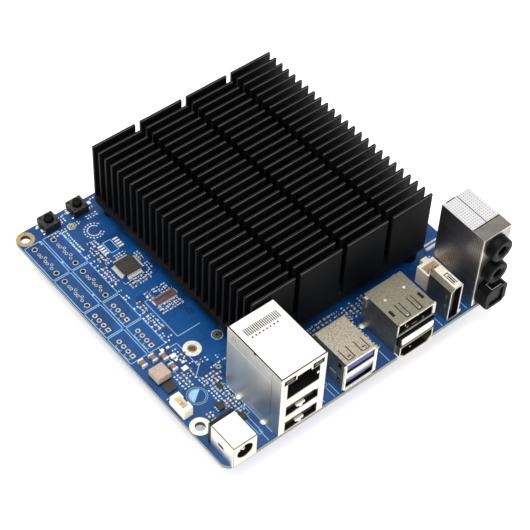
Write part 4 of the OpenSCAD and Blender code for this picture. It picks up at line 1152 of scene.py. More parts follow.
@dataclass
class Chips:
    """Packaged chips, inductor, larger capacitors, headers and the storage connector."""

    repeat: Repeater
    lead_pitch: float = 0.5
    leads_per_side: int = 12
    foot_pitch: float = 1.27
    empty_chip_y: float = 96.4
    empty_chip_rows: Point = (21.9, 28.2)
    storage_contacts: int = 16
    fan_pins: int = 4
    fan_pin_w: float = 0.5
    bulk_capacitors: tuple[Point, ...] = ((3.4, 48.6), (7.4, 48.3), (10.6, 46.6), (10.4, 41.5))
    # Place, turn in degrees, and scale in x and y of each bare pad.
    wide_pads: tuple[Numbers, ...] = (
        (13.5, 45.6, 0, 1.2, 1.3), (13.4, 43.6, 20, 0.7, 0.6), (13.6, 39.2, 0, 1.3, 1.3),
        (12.0, 49.6, 0, 0.8, 0.8), (14.2, 49.4, 0, 0.7, 0.7), (14.6, 41.6, 0, 0.7, 0.7),
        (10.6, 116.4, 0, 0.9, 1.1), (22.2, 118.0, 0, 0.9, 0.9), (30.6, 117.4, 0, 0.9, 1.1),
        (9.6, 118.6, 0, 0.7, 0.6))
    # Middle, width and depth of each small dark package.
    small_chips: tuple[Numbers, ...] = (
        (16.4, 12.6, 2.2, 2.6), (43.6, 20.6, 2.6, 3.0), (66.2, 14.4, 2.8, 3.2), (65.0, 21.6, 3.4, 2.6),
        (92.2, 15.6, 3.0, 3.0), (17.9, 26.4, 1.8, 2.4), (13.2, 20.0, 2.4, 2.8))

    def build(self) -> None:
        """Builds all the larger parts on the board's top face."""
        self.control_chip()
        self.empty_footprint()
        self.storage()
        self.power_parts()
        self.headers()
        self.power_chips()

    def control_chip(self) -> None:
        """Builds the square control chip with a moulded chamfer, its dot and its gull-wing leads."""
        low, high = node_box("io_chip")
        x, y = (low.x + high.x) / 2, (low.y + high.y) / 2
        half, z = (high.x - low.x) / 2, (low.z, high.z)
        body = Workpiece().block((x - half, x + half), (y - half, y + half), z).soften(0.22, 1)
        body.piece("control_chip", EPOXY, "chip_epoxy", stands_for=("io_chip",))
        dot = disc(0.35, 0.02)
        self.repeat.on_spots([(x - half + 1, y - half + 1, z[1])], dot, "control_chip_dot", NYLON,
                             "chip_epoxy")
        lead = Workpiece().prism([(0, 0.7), (0.3, 0.7), (0.5, 0.15), (1, 0.15), (1, 0.02), (0.35, 0.02),
                                  (0.2, 0.55), (0, 0.55)], (-0.12, 0.12), "y")
        pad = Workpiece().block((0.45, 1.35), (-0.14, 0.14), (0, PAD_H))
        spots = []
        for turn in (0, 90, 180, 270):
            out = Vector((math.cos(math.radians(turn)), math.sin(math.radians(turn))))
            for i in range(self.leads_per_side):
                across = (i - (self.leads_per_side - 1) / 2) * self.lead_pitch
                spots.append((x + out.x * half - out.y * across, y + out.y * half + out.x * across, 0, turn))
        self.repeat.on_spots(spots, lead, "control_chip_leads", SOLDER, "tinned_steel",
                             stands_for=("io_chip_leads",))
        self.repeat.on_spots(spots, pad, "control_chip_pads", SOLDER, "tinned_steel")

    def empty_footprint(self) -> None:
        """Lays the bare pads of an eight-lead chip that isn't fitted."""
        pads = [(x, self.empty_chip_y + (i - 1.5) * self.foot_pitch, 0)
                for x in self.empty_chip_rows for i in range(4)]
        self.repeat.on_spots(pads, slab(2.1, 0.72, PAD_H), "empty_chip_pads", SOLDER, "tinned_steel")

    def storage(self) -> None:
        """Builds the brown storage connector with its contacts along both sides."""
        formed("storage_connector", BROWN, 0.06)
        low, high = node_box("storage_connector")
        count = self.storage_contacts
        step = (high.x - low.x - 1.0) / (count - 1)
        for side, y in (("front", low.y - 0.3), ("back", high.y + 0.3)):
            self.repeat.in_rows((low.x + 0.5, y, 0), (count, (step, 0, 0)), ONE,
                                slab(0.24, 0.8, 0.12), f"storage_{side}_contacts", TIN, "gold_plate")
        ends = [(x, (low.y + high.y) / 2, 0, 90) for x in (low.x - 0.2, high.x + 0.2)]
        self.repeat.on_spots(ends, slab(2.2, 0.5, 0.5).soften(0.08, 1), "storage_end_clips", TIN,
                             "tinned_steel")

    def power_parts(self) -> None:
        """Builds the inductor with its side plates, the regulator and the bulk capacitors."""
        low, high = node_box("power_inductor")
        body = Workpiece().block((low.x + 0.1, high.x - 0.1), (low.y + 0.1, high.y - 0.1), (0.35, high.z))
        body.soften(0.14, 1).piece("power_inductor_body", FERRITE, "inductor_ferrite",
                                   stands_for=("power_inductor",))
        plate = Workpiece().block((low.x, high.x), (low.y, high.y), (0.05, 1.1)).soften(0.15, 1)
        plate.piece("power_inductor_frame", EPOXY, "inductor_ferrite")
        formed("regulator_chip", EPOXY, 0.08)
        spots = [(x, y, 0) for x, y in self.bulk_capacitors]
        self.repeat.on_spots(spots, slab(1.9, 2.4, 1.45, 0.1).soften(0.12, 1), "bulk_capacitor_bodies",
                             CERAMIC, "capacitor_ceramic", stands_for=("bulk_capacitors",))
        for side, y in (("front", -1.25), ("back", 1.25)):
            ends = [(x, middle + y, 0) for x, middle in self.bulk_capacitors]
            self.repeat.on_spots(ends, slab(2.1, 0.75, 1.6).soften(0.12, 1), f"bulk_capacitor_{side}_caps",
                                 TIN, "tinned_steel")
        wide = [(x, y, 0, turn, w, d, 1) for x, y, turn, w, d in self.wide_pads]
        self.repeat.on_spots(wide, slab(1.7, 1.3, PAD_H + 0.02).soften(0.02, 1), "wide_bare_pads", SOLDER,
                             "tinned_steel")

    def headers(self) -> None:
        """Builds the battery header and the fan header with its pins."""
        formed("battery_header", CREAM, 0.15)
        low, high = node_box("battery_header")
        y = (low.y + high.y) / 2
        pins = Workpiece()
        for step in (-0.65, 0.65):
            pins.block((low.x + 0.9, low.x + 3.4), (y + step - 0.2, y + step + 0.2), (1.9, 2.3))
        pins.piece("battery_header_pins", SPRING, "tinned_steel")
        formed("fan_header", CREAM, 0.2)
        low, high = node_box("fan_header_pins")
        count, width = self.fan_pins, self.fan_pin_w
        step = (high.x - low.x - width) / (count - 1)
        pin = Workpiece().block((-0.25, 0.25), (-0.25, 0.25), (0, high.z - low.z)).soften(0.1, 1)
        self.repeat.in_rows((low.x + width / 2, (low.y + high.y) / 2, low.z), (count, (step, 0, 0)),
                            ONE, pin, "fan_header_pin_row", GOLD, "gold_plate",
                            stands_for=("fan_header_pins",))

    def power_chips(self) -> None:
        """Builds the small dark packages between the ports and beside the power jack."""
        work = Workpiece()
        for x, y, w, d in self.small_chips:
            work.block((x - w / 2, x + w / 2), (y - d / 2, y + d / 2), (0.06, 0.95))
        work.soften(0.1, 1).piece("small_chips", EPOXY, "chip_epoxy")
        legs = [(x + side * (w / 2 + 0.25), y + step, 0) for x, y, w, _ in self.small_chips
                for side in (-1, 1) for step in (-0.8, 0, 0.8)]
        self.repeat.on_spots(legs, slab(0.6, 0.34, 0.16), "small_chip_legs", TIN, "tinned_steel")


# -------- heatsink


@dataclass
class Heatsink:
    """Black extruded heatsink: a base with bosses, and sawn fins in four blocks."""

    repeat: Repeater
    fins: int = 25
    blocks: int = 4
    fin_t: float = 0.9
    slot_w: float = 2.2
    base_z: Range = (4.0, 8.0)
    chamfer: float = 0.1
    bosses: tuple[Point, ...] = ((35.2, 30.3), (35.2, 109.0), (103.8, 30.3), (103.8, 109.0))
    boss_r: Range = (1.5, 3.2)
    pedestal: tuple[Range, Range] = ((54.5, 84.5), (55.0, 85.0))
    pedestal_z: float = 2.0

    def build(self) -> None:
        """Builds the fins from one fin, a painted highlight along each fin's top, and the base under them."""
        low, high = node_box("heatsink")
        block_w = (high.x - low.x - (self.blocks - 1) * self.slot_w) / self.blocks
        pitch = (high.y - low.y - self.fin_t) / (self.fins - 1)
        fin = Workpiece().block((0, block_w), (0, self.fin_t), (self.base_z[1] - 0.4, high.z))
        self.repeat.in_rows((low.x, low.y, 0), (self.blocks, (block_w + self.slot_w, 0, 0)),
                            (self.fins, (0, pitch, 0)), fin.soften(self.chamfer, 1), "heatsink_fins", ANODISED,
                            "black_anodised_aluminium", stands_for=("heatsink",))
        # A thin grey strip along each fin's top: a painted highlight where the overhead light catches it.
        edge = Workpiece().block((0.1, block_w - 0.1), (-0.012, 0.16), (high.z - 0.16, high.z + 0.012))
        self.repeat.in_rows((low.x, low.y, 0), (self.blocks, (block_w + self.slot_w, 0, 0)),
                            (self.fins, (0, pitch, 0)), edge, "fin_top_edges", PAINTED_HIGHLIGHT_GREY,
                            "black_anodised_aluminium")
        base = Workpiece().block((low.x, high.x), (low.y, high.y), self.base_z).soften(0.2, 2)
        base.block(*self.pedestal, (self.pedestal_z, self.base_z[0] + 0.3))
        for x, y in self.bosses:
            inner, outer = self.boss_r
            base.turned((x, y, 0), [(inner, 0), (outer, 0), (outer, 4.2), (inner, 4.2)], sides=32)
        base.piece("heatsink_base", ANODISED, "black_anodised_aluminium")
        formed("heatsink_screws", TINNED, 0.12)
        dress("processor_substrate", CARRIER)
        dress("processor_die", SILICON)
        dress("thermal_pad", PAD)


# -------- ports


@dataclass
class PowerJack:
    """Round power inlet in a folded tin shield with a black moulding behind."""

    seam_w: float = 0.3

    def build(self) -> None:
        """Builds shield, moulding, pin, spring and the fold line along the top."""
        formed("dc_jack_shield", TINNED, 0.14)
        formed("dc_jack_body", NYLON, 0.18)
        formed("dc_jack_spring", SPRING, 0.05)
        low, high = node_box("dc_jack_pin")
        x, z = (low.x + high.x) / 2, (low.z + high.z) / 2
        radius = (high.x - low.x) / 2
        tip = [(0, low.y), (0.45 * radius, low.y + 0.1), (0.85 * radius, low.y + 0.45), (radius, low.y + 1)]
        pin = Workpiece().turned((x, 0, z), tip + [(radius, high.y), (0, high.y)], "y", 28)
        pin.piece("dc_jack_centre_pin", SPRING, "tinned_steel", stands_for=("dc_jack_pin",))
        low, high = node_box("dc_jack_shield")
        top = (high.z - 0.02, high.z + 0.012)
        path = [(low.x + 0.22, high.y - 0.2), (low.x + 0.22, low.y + 0.2), (high.x - 0.2, low.y + 0.2)]
        seam = Workpiece().ribbon(path, self.seam_w, top)
        seam.block((low.x + 0.1, low.x + 0.24), (low.y - 0.012, low.y + 0.05), (0.3, high.z - 0.3))
        seam.piece("dc_jack_seam", SHADOW, "tinned_steel")
        plate = Workpiece().block((low.x + 0.3, high.x - 0.25), (low.y + 0.3, high.y - 0.2),
                                  (high.z - 0.05, high.z + 0.01))
        plate.piece("dc_jack_top", PAPER_TIN, "tinned_steel")
        tabs = Workpiece().block((x - 2.3, x - 1.2), (low.y + 0.9, low.y + 1.3), (z - 0.6, z + 0.7))
        tabs.block((x + 0.7, x + 2.4), (low.y + 1.4, low.y + 1.8), (z + 0.4, z + 1.5))
        tabs.soften(0.1, 1).piece("dc_jack_contact_tabs", SPRING, "spring_steel")


@dataclass
class NetworkStack:
    """Network socket over two older serial ports, in one tall tin shield with a paper label."""

    repeat: Repeater
    contacts: int = 8
    contact_pitch: float = 1.02
    bars: int = 19
    bar_pitch: float = 0.72
    bars_y: Range = (19.3, 22.4)
    light_x: Point = (21.7, 33.2)

    def build(self) -> None:
        """Builds the whole stack."""
        formed("lan_shield", TINNED, 0.12)
        formed("lan_housing", NYLON, 0.1)
        formed("lan_light_pipes", ACRYLIC, 0.15)
        formed("lan_label", PAPER, 0.03)
        for node in ("usb2_upper_tongue", "usb2_lower_tongue"):
            formed(node, NYLON, 0.15)
            self.tongue_contacts(node)
        self.socket_contacts()
        self.label_bars()
        self.folds()

    def socket_contacts(self) -> None:
        """Bends the eight slanting contacts in the network socket."""
        low, high = node_box("lan_contacts")
        wire = Workpiece().prism([(0, 0), (6.4, 2.6), (6.6, 2.2), (1, 0)], (-0.2, 0.2), "x")
        self.repeat.in_rows((low.x + 0.2, low.y, low.z), (self.contacts, (self.contact_pitch, 0, 0)),
                            ONE, wire, "network_contacts", GOLD, "gold_plate",
                            stands_for=("lan_contacts",))

    def tongue_contacts(self, node: str) -> None:
        """Lays the contacts on a port's tongue and a bright block at its front.

        Args:
            node: the tongue's CAD node.
        """
        low, high = node_box(node)
        step, x = 2.0, (low.x + high.x) / 2
        self.repeat.in_rows((x - 1.5 * step, low.y + 3.4, high.z), (4, (step, 0, 0)), ONE,
                            slab(1.0, 5.6, 0.12).soften(0.04, 1), node + "_contacts", GOLD, "gold_plate")
        fold = Workpiece()
        fold.block((x - 1.9, x + 1.5), (low.y - 0.9, low.y + 0.6), (low.z - 0.2, high.z - 0.9))
        fold.block((x - 0.9, x + 0.5), (low.y - 1.0, low.y - 0.6), (low.z - 1.0, low.z - 0.2))
        fold.soften(0.12, 1).piece(node + "_front", SOLDER, "spring_steel")

    def label_bars(self) -> None:
        """Prints an even row of bars, which stands for a stock label and says nothing."""
        low, high = node_box("lan_label")
        first = (low.x + high.x) / 2 - (self.bars - 1) / 2 * self.bar_pitch
        middle = sum(self.bars_y) / 2
        length = self.bars_y[1] - self.bars_y[0]
        self.repeat.in_rows((first, middle, high.z), (self.bars, (self.bar_pitch, 0, 0)), ONE,
                            slab(0.42, length, 0.015), "label_bars", PRINT, "label_paper")
        self.repeat.in_rows((first + self.bar_pitch, self.bars_y[0] - 1.0, high.z),
                            (self.bars // 2 - 1, (2 * self.bar_pitch, 0, 0)), ONE,
                            slab(0.6, 0.7, 0.015), "label_ticks", PRINT, "label_paper")

    def folds(self) -> None:
        """Marks the shield's folds and seams, and paints shade and a highlight over its light pipes."""
        low, high = node_box("lan_shield")
        seams = Workpiece()
        for x, skin in ((low.x, (low.x - 0.012, low.x + 0.03)), (high.x, (high.x - 0.03, high.x + 0.012))):
            seams.block(skin, (low.y + 4.5, low.y + 4.6), (0.4, high.z - 1.0))
            seams.block(skin, (low.y + 12.6, low.y + 13.6), (high.z - 0.5, high.z - 0.1))
            seams.block((x - 0.25, x + 0.25), (low.y + 12.8, low.y + 13.5), (high.z - 0.2, high.z + 0.03))
            for y in (22.4, 23.6):
                seams.block(skin, (y, y + 0.12), (high.z - 4.2, high.z - 2.4))
        top = (high.z - 0.02, high.z + 0.015)
        edge = [(low.x + 0.2, high.y - 0.2), (low.x + 0.2, low.y + 0.2), (high.x - 0.2, low.y + 0.2),
                (high.x - 0.2, high.y - 0.2), (low.x + 0.2, high.y - 0.2)]
        seams.ribbon(edge, 0.4, top)
        # Over each light pipe's front: a dark sheet as painted shade inside the clear pipe, and a grey patch as a
        # painted highlight on its face.
        for side, x in (("left", self.light_x[0]), ("right", self.light_x[1])):
            seams.block((x, x + 4.6), (low.y - 0.02, low.y + 0.02), (26.0, 28.3))
            face = Workpiece().block((x + 0.8, x + 3.8), (low.y - 0.03, low.y), (26.7, 27.7))
            face.piece(f"lan_light_{side}", PAINTED_HIGHLIGHT_GREY, "clear_light_pipe")
        seams.piece("lan_shield_seams", SHADOW, "tinned_steel")
        fold = Workpiece()
        fold.block((low.x - 0.012, low.x + 0.03), (low.y + 4.7, high.y - 0.4), (23.4, 23.55))
        fold.block((low.x - 0.012, low.x + 0.03), (low.y + 4.7, high.y - 6), (2.0, 2.12))
        for z in (13.2, 15.6, 21.6):
            fold.block((high.x - 3.6, high.x - 2.9), (low.y - 0.02, low.y + 0.3), (z, z + 0.9))
        fold.block((low.x + 0.5, high.x - 0.5), (low.y + 0.5, high.y - 0.5), (high.z - 0.02, high.z + 0.01))
        fold.piece("lan_shield_creases", PAPER_TIN, "tinned_steel")


def spring_windows(work: Workpiece, x: float, out: int, y: Range, heights: Sequence[float]) -> None:
    """Adds dark windows of side springs to a workpiece.

    Args:
        work: the workpiece.
        x: place of the shell's side.
        out: 1 for the right side and -1 for the left.
        y: range of each window along the side.
        heights: lower edge of each window.
    """
    skin = (x, x + 0.02) if out > 0 else (x - 0.02, x)
    for z in heights:
        work.block(skin, y, (z, z + 2.2))


@dataclass
class FastPorts:
    """Two fast serial ports in one nickel shell, with blue tongues."""

    repeat: Repeater
    finger_x: tuple[float, ...] = (51.8, 58.0)
    contact_step: float = 2.2
    nose_z: tuple[Range, ...] = ((10.1, 12.9), (3.9, 6.8))
    bar_z: Range = (7.0, 9.2)

    def build(self) -> None:
        """Builds shell, tongues, contacts, the bar between the ports, front rims and spring fingers."""
        formed("usb3_shell", MOTTLED, 0.1)
        formed("usb3_housing", NYLON, 0.1)
        for node in ("usb3_upper_tongue", "usb3_lower_tongue"):
            formed(node, BLUE_NYLON, 0.15)
            low, high = node_box(node)
            step = self.contact_step
            first = ((low.x + high.x) / 2 - 1.5 * step, low.y + 3.2, low.z - 0.1)
            self.repeat.in_rows(first, (4, (step, 0, 0)), ONE, slab(1.0, 5.0, 0.1),
                                node + "_contacts", GOLD, "gold_plate")
        low, high = node_box("usb3_shell")
        blue = Workpiece()
        for z in self.nose_z:
            blue.block((low.x + 1.6, high.x - 1.6), (low.y + 0.15, low.y + 0.7), z)
        blue.soften(0.2).piece("usb3_tongue_noses", BLUE_NYLON, "blue_nylon")
        bar = Workpiece().block((low.x + 1.2, high.x - 1.2), (low.y - 0.3, low.y + 0.4), self.bar_z)
        bar.soften(0.18).piece("usb3_middle_bar", TINNED, "tinned_steel")
        rim = Workpiece()
        for z in ((0.05, 0.4), (0.95, 1.3), (13.7, high.z)):
            rim.block((low.x + 1.2, high.x - 1.2), (low.y - 0.3, low.y + 0.2), z)
        rim.block((high.x - 1.3, high.x - 0.1), (low.y - 0.3, low.y + 0.2), (0.9, high.z - 1.6))
        rim.block((low.x + 0.5, low.x + 1.2), (low.y - 0.3, low.y + 0.2), (0.9, high.z - 0.4))
        rim.soften(0.08, 1).piece("usb3_front_rim", SOLDER, "tinned_steel")
        self.fingers(low, high)

    def fingers(self, low: Vector, high: Vector) -> None:
        """Adds the spring fingers' tips and slots on top, and springs and dark windows at the sides.

        Args:
            low: lowest corner of the shell.
            high: its highest corner.
        """
        tips = Workpiece()
        dark = Workpiece()
        for x in self.finger_x:
            tip = [(x - 1.0, low.y + 2.3), (x + 1.0, low.y + 2.3), (x + 0.6, low.y + 1.3),
                   (x - 0.6, low.y + 1.3)]
            tips.prism(tip, (high.z - 0.3, high.z + 0.05))
            dark.block((x - 1.2, x + 1.2), (low.y + 1.0, low.y + 1.3), (high.z - 0.1, high.z + 0.012))
            dark.block((x - 0.7, x + 0.7), (low.y + 2.3, low.y + 2.7), (high.z - 0.1, high.z + 0.012))
        for x, out in ((low.x + 0.9, -1), (high.x - 0.9, 1)):
            spring_windows(dark, x, out, (low.y + 2.2, low.y + 3.6), (2.0, 9.6))
            side = Workpiece().block(tuple(sorted((x, x + out * 0.05))), (low.y + 2.6, low.y + 3.2), (2.4, 3.4))
            side.block(tuple(sorted((x, x + out * 0.05))), (low.y + 4.2, low.y + 7.2), (4.6, 5.4))
            side.piece(f"usb3_side_springs_{'left' if out < 0 else 'right'}", TINNED, "nickel_steel")
        tips.soften(0.1, 1).piece("usb3_spring_tips", SPRING, "nickel_steel")
        dark.piece("usb3_spring_slots", SHADOW, "nickel_steel")


@dataclass
class VideoPorts:
    """A wide video port over a chamfered one, in a nickel shell, and a third port standing upright."""

    repeat: Repeater
    dimples: tuple[Point, ...] = ((75.5, 12.2), (84.1, 12.5))
    slot_x: tuple[float, ...] = (77.3, 82.5)
    middle_z: Range = (5.0, 7.9)
    # Outline of the lower port's chamfered mouth, in x and z.
    mouth: tuple[Point, ...] = (
        (72.5, 4.4), (72.5, 0.1), (74.3, -1.8), (85.2, -1.8), (87.0, 0.1), (87.0, 4.4))
    # Bits of latches and contacts inside both ports: range in x, y and z.
    latch_bits: tuple[tuple[Range, Range, Range], ...] = (
        ((76.4, 77.4), (2.0, 2.5), (9.8, 10.5)), ((80.6, 81.6), (2.0, 2.4), (13.0, 14.2)),
        ((83.6, 84.2), (2.0, 2.4), (9.6, 10.2)), ((77.4, 78.2), (0.3, 0.6), (0.4, 0.8)),
        ((78.6, 81.0), (1.9, 2.2), (10.0, 10.3)), ((75.4, 75.8), (1.9, 2.2), (11.6, 12.6)))
    upright_cut: float = 1.4

    def build(self) -> None:
        """Builds both the stack and the upright port."""
        formed("video_shell", NICKEL, 0.12)
        formed("video_housing", NYLON, 0.1)
        for node in ("video_upper_tongue", "video_lower_tongue"):
            formed(node, NYLON, 0.12)
            self.contacts(node, 9)
        self.stack_details()
        formed("upright_shell", NICKEL, 0.14)
        formed("upright_housing", NYLON, 0.1)
        formed("upright_tongue", NYLON, 0.12)
        self.upright_details()

    def contacts(self, node: str, count: int) -> None:
        """Lays a row of contacts on top of a tongue.

        Args:
            node: the tongue's CAD node.
            count: number of contacts.
        """
        low, high = node_box(node)
        step = (high.x - low.x - 1.4) / (count - 1)
        self.repeat.in_rows((low.x + 0.7, low.y + 2.6, high.z), (count, (step, 0, 0)), ONE,
                            slab(0.5, 4.2, 0.1), node + "_contacts", GOLD, "gold_plate")

    def stack_details(self) -> None:
        """Adds dimples, springs, the block and gap between the ports, front rims and latch parts."""
        low, high = node_box("video_shell")
        dome = [(0, 0), (0.62, 0), (0.5, 0.22), (0.3, 0.3), (0, 0.32)]
        spots = [(x, y, high.z) for x, y in self.dimples]
        self.repeat.on_spots(spots, Workpiece().turned(ORIGIN, dome, sides=18), "video_shell_dimples",
                             RING, "nickel_steel")
        dark, tips = Workpiece(), Workpiece()
        for x in self.slot_x:
            dark.block((x - 0.9, x + 0.9), (2.3, 2.7), (high.z - 0.1, high.z + 0.012))
            tips.block((x - 0.42, x + 0.42), (2.75, 3.5), (high.z - 0.2, high.z + 0.05))
        dark.block((low.x - 0.012, low.x + 0.05), (3.4, 17.4), (10.9, 11.0))
        dark.piece("video_spring_slots", SHADOW, "nickel_steel")
        tips.soften(0.1, 1).piece("video_spring_tips", TINNED, "nickel_steel")
        left, right = low.x + 0.1, high.x - 0.1
        block = Workpiece().block((left + 1.4, right - 0.6), (-0.2, 1.7), self.middle_z).soften(0.2)
        block.piece("video_middle_block", PAPER_TIN, "tinned_steel")
        gap = Workpiece().block((left + 0.3, right - 0.1), (0.3, 1.65), (4.6, 8.8))
        for z in ((4.2, 4.3), (-1.4, -1.3)):
            gap.block((73.2, 86.3), (-0.2, 2.6), z)
        for x in ((72.85, 72.95), (86.55, 86.65)):
            gap.block(x, (-0.2, 2.6), (0.6, 3.9))
        gap.piece("video_front_gap", SHADOW, "black_nylon")
        rim = Workpiece()
        for x, z in (((left, right), (14.55, 15.1)), ((left, right), (8.7, 9.1)),
                     ((left, left + 0.45), (8.7, 15.1)), ((right - 0.4, right), (9.6, 14.6))):
            rim.block(x, (1.35, 1.75), z)
        rim.block((right - 0.1, right + 0.8), (1.3, 2.2), (9.6, 14.9))
        rim.block((low.x - 0.9, low.x + 0.1), (16.2, 17.6), (10.4, 14.9))
        for a, b in zip(self.mouth, self.mouth[1:]):
            along = (Vector(b) - Vector(a)).normalized() * 0.16
            side = Vector((-along.y, along.x))
            corners = [Vector(a) - side, Vector(b) - side, Vector(b) + side, Vector(a) + side]
            rim.prism([tuple(c) for c in corners], (-0.42, -0.2), "y")
        rim.soften(0.08, 1).piece("video_front_rim", TINNED, "tinned_steel")
        bits = Workpiece()
        for x, y, z in self.latch_bits:
            bits.block(x, y, z)
        bits.soften(0.06, 1).piece("video_latch_bits", SPRING, "spring_steel")

    def upright_details(self) -> None:
        """Adds the top plate's slots, the side springs, painted shade inside the port and the pale front rim."""
        low, high = node_box("upright_shell")
        x, cut = (low.x + high.x) / 2, self.upright_cut
        top = Workpiece().block((low.x + cut + 0.05, high.x - 0.15), (low.y + 0.1, high.y - 0.1),
                                (high.z - 0.1, high.z + 0.03))
        top.soften(0.03, 1).piece("upright_top_plate", WHITE_RING, "nickel_steel")
        dark = Workpiece()
        skin = (high.z + 0.02, high.z + 0.045)
        mid = x + cut / 2
        for side in (-0.75, 0.75):
            dark.ribbon([(mid + side, low.y + 1.8), (mid + side, low.y + 6.6)], 0.36, skin)
        dark.ribbon([(mid - 0.75, low.y + 6.6), (mid + 0.75, low.y + 6.6)], 0.36, skin)
        dark.ribbon([(mid, low.y + 2.2), (mid, low.y + 5.4)], 0.5, skin)
        # Dark sheets inside the port, along its walls: painted shade, in the same piece as the top slots.
        shade_sheets = (
            (low.x + 0.36, low.x + 0.44, 0.5, high.z - 2.0), (high.x - 0.44, high.x - 0.36, 0.5, high.z - 0.5),
            (low.x + 0.4, high.x - 0.4, 0.46, 0.56), (low.x + 1.6, high.x - 0.4, high.z - 0.46, high.z - 0.38))
        for left, right, bottom, over in shade_sheets:
            dark.block((left, right), (low.y + 0.2, low.y + 7.9), (bottom, over))
        dark.piece("upright_lining", SHADOW, "black_nylon")
        springs = Workpiece()
        for z in (6.0, 10.6):
            springs.block((low.x - 0.04, low.x + 0.1), (low.y + 1.6, low.y + 2.1), (z, z + 1.6))
        springs.piece("upright_side_springs", TINNED, "nickel_steel")
        rim = Workpiece()
        for bx, bz in (((low.x - 0.05, low.x + 0.3), (low.z + 0.1, high.z - 1.5)),
                       ((high.x - 0.3, high.x + 0.12), (low.z + 0.1, high.z - 0.1)),
                       ((low.x + 1.3, high.x), (high.z - 0.35, high.z)), ((low.x, high.x), (low.z, low.z + 0.35))):
            rim.block(bx, (low.y - 0.15, low.y + 0.4), bz)
        rim.prism([(low.x - 0.05, high.z - 1.7), (low.x + 0.3, high.z - 1.7), (low.x + 1.5, high.z - 0.35),
                   (low.x + 1.5, high.z)], (low.y - 0.15, low.y + 0.4), "y")
        rim.soften(0.08, 1).piece("upright_front_rim", TINNED, "tinned_steel")
        flap = Workpiece().block((high.x + 0.1, high.x + 1.4), (low.y - 0.1, low.y + 0.5), (0.1, 2.0))
        flap.soften(0.1, 1).piece("upright_ground_flap", TINNED, "tinned_steel")
        low, high = node_box("upright_tongue")
        step = (high.z - low.z - 1.6) / 8
        self.repeat.in_rows((low.x - 0.06, low.y + 2.6, low.z + 0.8), ONE, (9, (0, 0, step)),
                            slab(0.12, 4.2, 0.5, -0.25), "upright_contacts", SPRING, "gold_plate")


